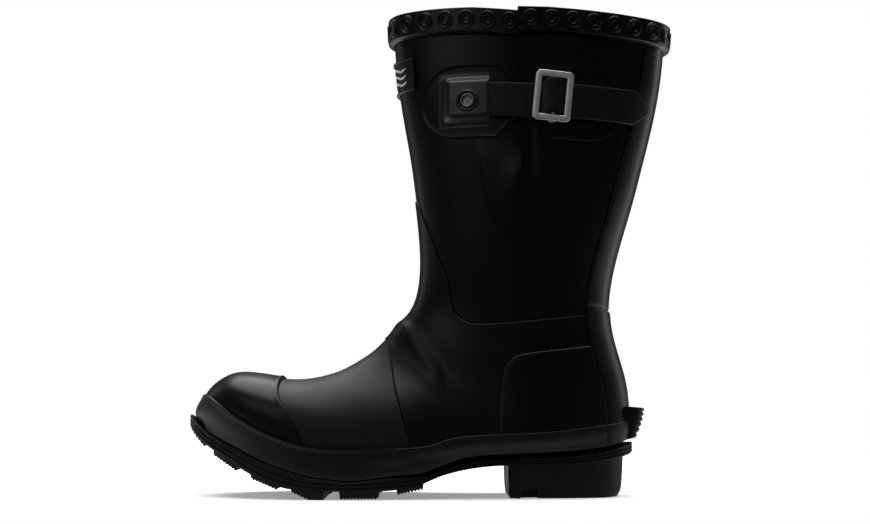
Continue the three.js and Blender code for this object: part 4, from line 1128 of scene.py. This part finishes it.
# How far the strap's middle stands off the skin: low in its cover, over the pin, low at its tip.
STRAP_RISE = [(-60, 2.6), (-40, 2.7), (-16.2, 3.6), (-8.4, 7.9), (-6.0, 7.9), (0.2, 4.9), (12.8, 4.6),
              (28, 3.4), (48, 2.8)]


def strap_z(x):
    return STRAP["z"] + STRAP["slope"] * (x - STRAP["x0"])


def through(pairs, x):
    """A value that runs smoothly through (x, value) pairs, level past its ends."""
    made = np.full(x.shape, pairs[0][1])
    for (x0, v0), (x1, v1) in zip(pairs[:-1], pairs[1:]):
        made = np.where(x >= x0, v0 + (v1 - v0) * smoothstep(x0, x1, x), made)
    return made


def edge_bead(outline):
    """A low raised line just inside a patch's edge."""
    def height(x, z):
        points = np.stack([x.ravel(), z.ravel()], axis=1)
        gap = np.sqrt(((points[:, None, :] - outline[None, ::3, :]) ** 2).sum(axis=2)).min(axis=1)
        return 0.5 * hump(gap.reshape(x.shape), 0.6, 0.45)
    return height


def make_patches():
    front = [(-66 + 22 * math.cos(a), 244.2 + 23.0 * math.sin(a)) for a in np.linspace(PI / 2, 1.5 * PI, 60)]
    front += [(-54, 221.2), (-42.4, 221.0), (-38.6, 225.2), (-35.0, 230.0), (-31.4, 230.4), (-30.4, 231.4),
              (-30.4, 256.0), (-31.6, 257.4), (-34.6, 257.8), (-37.4, 262.4), (-40.4, 266.6), (-54, 267.1)]
    rear = [(-28.4, 231.4), (-27.6, 230.4), (-19.8, 229.6), (-16.0, 225.4), (-11.8, 220.2), (-10.4, 219.4),
            *spline([(-2, 219.3), (8, 218.7), (17, 218.9), (24.5, 221.0), (29.6, 225.4), (32.4, 231.0),
                     (33.8, 240), (33.4, 249), (31.2, 255.0), (26.6, 259.4), (19, 261.8), (8, 263.6),
                     (-4, 265.4)], 120),
            (-9.0, 265.6), (-12.2, 263.0), (-17.6, 258.2), (-27.6, 257.8), (-28.4, 256.8)]
    for place, points, centre in (("front", front, (-58, 243.6)), ("rear", rear, (6, 243))):
        outline = soften(even_loop(np.array(points), 420), 3)
        bead = edge_bead(outline)
        side_piece("strap_patch_" + place, outline, np.array(centre), BOND, PATCH_TOP, 0.5, bead)


def make_cover():
    """The cover over the strap's fixed end: a flat roof with soft slopes, sunk round the rivet."""
    x = stretches((-77.0, -67, 20), (-66.6, -52.0, 44), (-51.4, -46.4, 10))
    z = stretches((261.8, 251.4, 20), (251.0, 236.8, 44), (236.2, 227.6, 18))
    x, z = np.meshgrid(x, z, indexing="ij")
    roof = smoothstep(-76.8, -69.0, x) * smoothstep(228.8, 235.4, z) * smoothstep(260.4, 254.8, z)
    away = np.hypot(x - RIVET_AT[0], z - RIVET_AT[1])
    height = PATCH_TOP + 0.15 + 3.6 * roof + 0.55 * hump(away, 5.9, 0.6) - 0.95 * smoothstep(5.4, 4.95, away)
    end = np.sqrt(np.clip((-46.3 - x) / 0.8, 0.02, 1))
    outer = on_side(x, z, PATCH_TOP - 0.1 + (height - PATCH_TOP + 0.1) * (0.72 + 0.28 * end))
    inner = on_side(x, z, np.minimum(np.maximum(height - 1.35, PATCH_TOP - 0.15), height - 0.12))
    finished(wall_mesh("strap_cover_rubber", outer, inner, GLOSSY), "strap_cover")


def make_strap():
    """The strap as one length."""
    half, thick = STRAP["wide"] / 2, STRAP["thick"] / 2
    body = stretches((-66, -20, 60), (-19.4, 10, 70), (10.6, 44, 50))
    x = np.append(body, [45.4, 46.8, 48.0, 49.1, 50.0, 50.6, 51.0, 51.2])
    tip_low = np.interp(x, [39.6, 43.5, 47, 49.4, 51.2], [229.6, 232.6, 235.4, 237.6, 239.4])
    tip_high = np.interp(x, [44, 47.2, 49.3, 50.6, 51.2], [strap_z(44) + half, 247.6, 245.1, 242.6, 240.6])
    low = np.where(x < 39.4, strap_z(x) - half, np.maximum(strap_z(x) - half, tip_low))
    high = np.where(x < 44, strap_z(x) + half, np.minimum(strap_z(x) + half, tip_high))
    edge = np.array([0.0, 0.16, 0.42, 0.8])
    rim = thick * np.array([0.35, 0.72, 0.93, 1.0])
    lift = np.concatenate([rim, np.full(13, thick), rim[::-1]])
    rings = []
    for xs, lo, hi in zip(x, low, high):
        squeeze = min(1, (hi - lo) / 3)
        zs = np.concatenate([lo + edge * squeeze, np.linspace(lo + 1.6 * squeeze, hi - 1.6 * squeeze, 13),
                             (hi - edge * squeeze)[::-1]])
        face = np.stack([0 * zs + xs, zs, lift], axis=1)
        rings.append(np.concatenate([face, face[::-1] * [1, 1, -1]]))
    rings = np.array(rings)
    across = rings[..., 1] - strap_z(rings[..., 0])
    from_pin = rings[..., 0] - OVER_PIN
    over_pin = 3.6 + 4.6 * np.sqrt(np.clip(1 - (from_pin / 8.8) ** 2, 0, 1))
    rise = np.maximum(through(STRAP_RISE, rings[..., 0]), over_pin)
    swell = 0.18 * hump(np.abs(across), 9.0, 0.9) * np.sign(rings[..., 2])
    pulled = 3.5 * np.exp(-((from_pin / 5.6) ** 4))
    points = on_side(rings[..., 0], rings[..., 1] + pulled, rise + rings[..., 2] + swell)
    made = tube_mesh("strap_band", points, BAND, sharp=50)
    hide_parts("strap", "strap_end")
    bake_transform(made)


def buckle_basis():
    """x along the strap, y up the pin and z out of the boot, as the rows of a matrix."""
    up = -PIN_AXIS
    near = on_side(PIN_AT[0], PIN_AT[2], np.array([0.0, 4.0]))
    out = near[1] - near[0]
    out -= up * (out @ up)
    out /= np.linalg.norm(out)
    return np.array([np.cross(up, out), up, out])


BASIS = buckle_basis()


def there_and_back(end):
    """Stations through a piece, from one end to the other, out of those of one end."""
    return [(-y, value) for y, value in end] + end[::-1]


def buckle_tube(name, rings, material, **settings):
    """A tube whose points are given from the pin's middle: along the strap, up the pin, out of the boot."""
    return tube_mesh(name, PIN_AT + np.array(rings) @ BASIS, material, **settings)


def make_buckle():
    half, bar, thick = BUCKLE["high"] / 2, BUCKLE["bar"], BUCKLE["thick"]
    bevel = [(0.12, 0.1), (0, 0.3), (0, thick - 0.4), (0.08, thick - 0.2), (0.26, thick - 0.04), (0.4, thick)]
    profile = bevel + [(bar - inset, lift) for inset, lift in bevel[::-1]] + [(bar - 0.5, 0), (0.5, 0)]
    rings = []
    for inset, lift in profile:
        loop = rounded_loop(BUCKLE["wide"] / 2, half, BUCKLE["corner"], inset, 7, 10) + BUCKLE_SHIFT
        rings.append(np.column_stack([loop, np.full(len(loop), BUCKLE["back"] + lift)]))
    made = buckle_tube("buckle_ring", np.array(rings).transpose(1, 0, 2), BRUSHED, loop=True, sharp=60)
    finished(made, "buckle_frame", "buckle")
    shape = [(1.9 * math.cos(a), 1.9 * math.sin(a)) for a in np.linspace(PI, 2 * PI, 15)]
    shape += [(2.3, 1.2), (2.3, BUCKLE["back"] + 0.3), (-2.3, BUCKLE["back"] + 0.3), (-2.3, 1.2)]
    for at, place in ((half - 1.9, "top"), (1.9 - half, "bottom")):
        rings = [[(x * shrink, at + depth, z * shrink if z < 1.3 else z) for x, z in shape]
                 for depth, shrink in there_and_back([(1.2, 0.88), (1.05, 0.97), (0.8, 1.0)])]
        made = buckle_tube("buckle_ear_" + place, rings, BRUSHED)
        finished(made, body="buckle")
    reach = half - 0.7
    end = [(reach, 0.7), (reach - 0.12, 0.95), (reach - 0.4, 1.2), (reach - 0.7, PIN_RADIUS)]
    around = np.linspace(0, 2 * PI, 33)[:-1]
    rings = [np.column_stack([r * np.cos(around), np.full(32, y), r * np.sin(around)])
             for y, r in there_and_back(end)]
    finished(buckle_tube("buckle_bar", rings, BRUSHED), "buckle_pin", "buckle")


def make_loop():
    """The rubber tab round the pin, bonded to the rear patch."""
    outer, half = PIN_RADIUS + 1.3, 8.7
    x = np.linspace(1.0, 15.5, 24)
    under = -outer + 0.18 * smoothstep(10, 16, x)
    over = under + 1.05 + 1.75 * smoothstep(7.5, 1.0, x)
    eye = [(outer * math.cos(a), outer * math.sin(a)) for a in np.linspace(0.32 * PI, 1.5 * PI, 36)]
    section = np.array([*eye, *zip(x, under), (15.9, -outer + 0.75), *zip(x[::-1], over[::-1])])
    rings = []
    for y, shrink in there_and_back([(half, 0.28), (half - 0.1, 0.1), (half - 0.3, 0.0)]):
        ring = section + inward(section) * shrink
        rings.append(np.column_stack([ring[:, 0], np.full(len(ring), y), ring[:, 1]]))
    finished(buckle_tube("buckle_loop_rubber", rings, BAND, sharp=50), "buckle_loop")


def make_rivet():
    """A turned head, dished inside a rolled collar, on its shank."""
    seat, above = on_side(*RIVET_AT, np.array([0.0, 4.0]))
    out = (above - seat) / np.linalg.norm(above - seat)
    side = np.cross(out, [0.0, 0.0, 1.0])
    side /= np.linalg.norm(side)
    top = 4.75
    collar = [(3.75 - 0.7 * math.cos(a), top + 0.2 + 0.75 * math.sin(a)) for a in np.linspace(PI, 0, 11)]
    dish = [(2.9, top - 0.05), (2.5, top - 0.15), (1.2, top - 0.1), (0.02, top - 0.08)]
    profile = [(1.7, -7.0), (1.7, top - 0.5), (4.1, top - 0.5), (4.4, top - 0.3), *collar, *dish]
    angle = np.linspace(0, 2 * PI, 64, endpoint=False)[:, None]
    spokes = np.cos(angle) * side + np.sin(angle) * np.cross(out, side)
    rings = [seat + r * spokes + h * out for r, h in profile]
    finished(tube_mesh("rivet_head", rings, STUD, sharp=35), "rivet_stud")


make_patches()
make_cover()
make_strap()
make_buckle()
make_loop()
make_rivet()

# ---------------------------------------------------------------- inside
FOOTBED = {"middle": -90.5, "half": 125.5, "edge": 9.0, "under": 6.3, "top": 10.0}


def make_footbed():
    """The sock under the foot: thin at its edge, cupped round the heel and raised under the arch."""
    x = crowded(FOOTBED["middle"] - FOOTBED["half"], FOOTBED["middle"] + FOOTBED["half"], 120)
    sides = []
    for side in (-1, 1):
        y = on_side(x, sole_line(x) + FOOTBED["edge"], -LINING - 0.6, side)[:, 1]
        good = ~np.isnan(y)
        sides.append(np.interp(x[::-1], x[good][::-1], y[good][::-1])[::-1])
    middle = (sides[0] + sides[1]) / 2
    along = np.abs(x - FOOTBED["middle"]) / FOOTBED["half"]
    half = (sides[1] - middle) * np.sqrt(np.clip(1 - along**10, 0, 1))
    plan = Plan(x, middle - half, middle + half, across=24)

    def under(x):
        return sole_line(x) + FOOTBED["under"]

    def crown(px, py):
        centre, wide = [np.interp(px, x[::-1], values[::-1]) for values in (middle, half)]
        share = (py - centre) / np.maximum(wide, 1)
        cup = 1.8 * share**4 * smoothstep(-60, -10, px)
        return sole_line(px) + FOOTBED["top"] + cup + 2.2 * hump(px, -66, 26) * np.maximum(share, 0) ** 2

    def edge(x):
        return crown(x, plan.loop[:, 1])

    walls = [(0.7, under), (0.1, lambda x: under(x) + 0.5), (0.0, lambda x: under(x) + 2.4),
             (0.35, lambda x: edge(x) - 0.45), (1.0, lambda x: edge(x) - 0.1)]
    made = plan_solid("footbed_pad", plan, walls, lambda x, y: under(x), crown, FOOTBED_KNIT)
    finished(made, "footbed")


def make_gusset():
    """The pleated cloth behind the slit, folded flat against the lining."""
    share = np.linspace(0, 1, 121)
    # Share of the way across, place along x and depth under the skin: three layers between two folds.
    folds = np.array([(0, -50, 4.0), (0.28, -16, 4.4), (0.5, -33, 5.4), (0.72, -24, 6.4), (1.0, -1.5, 4.2)])
    across, depth = [np.interp(share, folds[:, 0], folds[:, k]) for k in (1, 2)]
    across = np.convolve(np.pad(across, 3, mode="edge"), np.ones(7) / 7, mode="valid")
    z, x = np.meshgrid(np.linspace(292.0, 164.0, 90), across, indexing="ij")
    x = -25.5 + (x + 25.5) * (1 - 0.55 * smoothstep(196, 164, z))
    depth = depth + 0.25 * np.sin(z / 9.0 + 3 * share)
    faces = on_side(x, z, -depth), on_side(x, z, -depth - 0.45)
    made = wall_mesh("gusset_cloth", *faces, LINING_KNIT, sharp=180)
    finished(made, "gusset_panel")


make_footbed()
make_gusset()

for node, material in (("insole_board", BOARD), ("shank", BRUSHED), ("rivet_washer", BRUSHED)):
    frame["nodes"][node].data.materials.clear()
    frame["nodes"][node].data.materials.append(material)


# ---------------------------------------------------------------- floor and light
def make_floor(side=1.2, front=-0.095, back=0.8, tone=0.9):
    m = Nodes("pale_floor", grey(tone), 0.9, specular_ior_level=0.1, emission_color=(1, 1, 1, 1),
              emission_strength=0.3)
    m.join("Base Color", m.mixed(m.noise(3, 2), grey(tone), grey(0.985 * tone)))
    corners = np.array([(-side, front, 0), (side, front, 0), (side, back, 0), (-side, back, 0)])
    add_mesh("floor", corners / MM, [(0, 1, 2, 3)], m.material)


def make_world(low=0.07):
    """White behind the boot, and dim all round it."""
    world = bpy.data.worlds.new("studio")
    world.use_nodes = True
    bpy.context.scene.world = world
    tree = world.node_tree
    level_of = tree.nodes.new("ShaderNodeMapRange")
    level_of.inputs["To Min"].default_value = low
    level_of.inputs["To Max"].default_value = 1.0
    back = tree.nodes["Background"]
    back.inputs["Color"].default_value = (1, 1, 1, 1)
    tree.links.new(tree.nodes.new("ShaderNodeLightPath").outputs["Is Camera Ray"], level_of.inputs["Value"])
    tree.links.new(level_of.outputs["Result"], back.inputs["Strength"])


def add_sky(strength, angle, tilt):
    """A wide soft sun, like the ceiling of a light tent."""
    data = bpy.data.lights.new("sky", "SUN")
    data.energy, data.angle = strength, math.radians(angle)
    in_scene("sky", data).rotation_euler = (math.radians(tilt), 0, 0)


def add_panel(name, at, towards, size, power, spread=180):
    data = bpy.data.lights.new(name, "AREA")
    data.shape = "RECTANGLE"
    data.size, data.size_y = size
    data.energy, data.spread = power, math.radians(spread)
    light = in_scene(name, data)
    light.location = at
    light.rotation_euler = (Vector(towards) - Vector(at)).to_track_quat("-Z", "Y").to_euler()


make_floor()
make_world()
add_sky(4.6, 70, -13)
add_panel("behind_right", (1.3, 0.7, 0.5), (0, 0, 0.2), (0.36, 1.4), 3.5)
add_panel("front_left", (-0.75, -1.0, 0.8), (-0.03, 0, 0.30), (1.2, 0.7), 0.5, 75)
add_panel("behind_left", (-1.5, 0.9, 0.6), (-0.1, 0, 0.1), (0.5, 1.2), 1.3)
bpy.context.scene.view_settings.view_transform = "Standard"
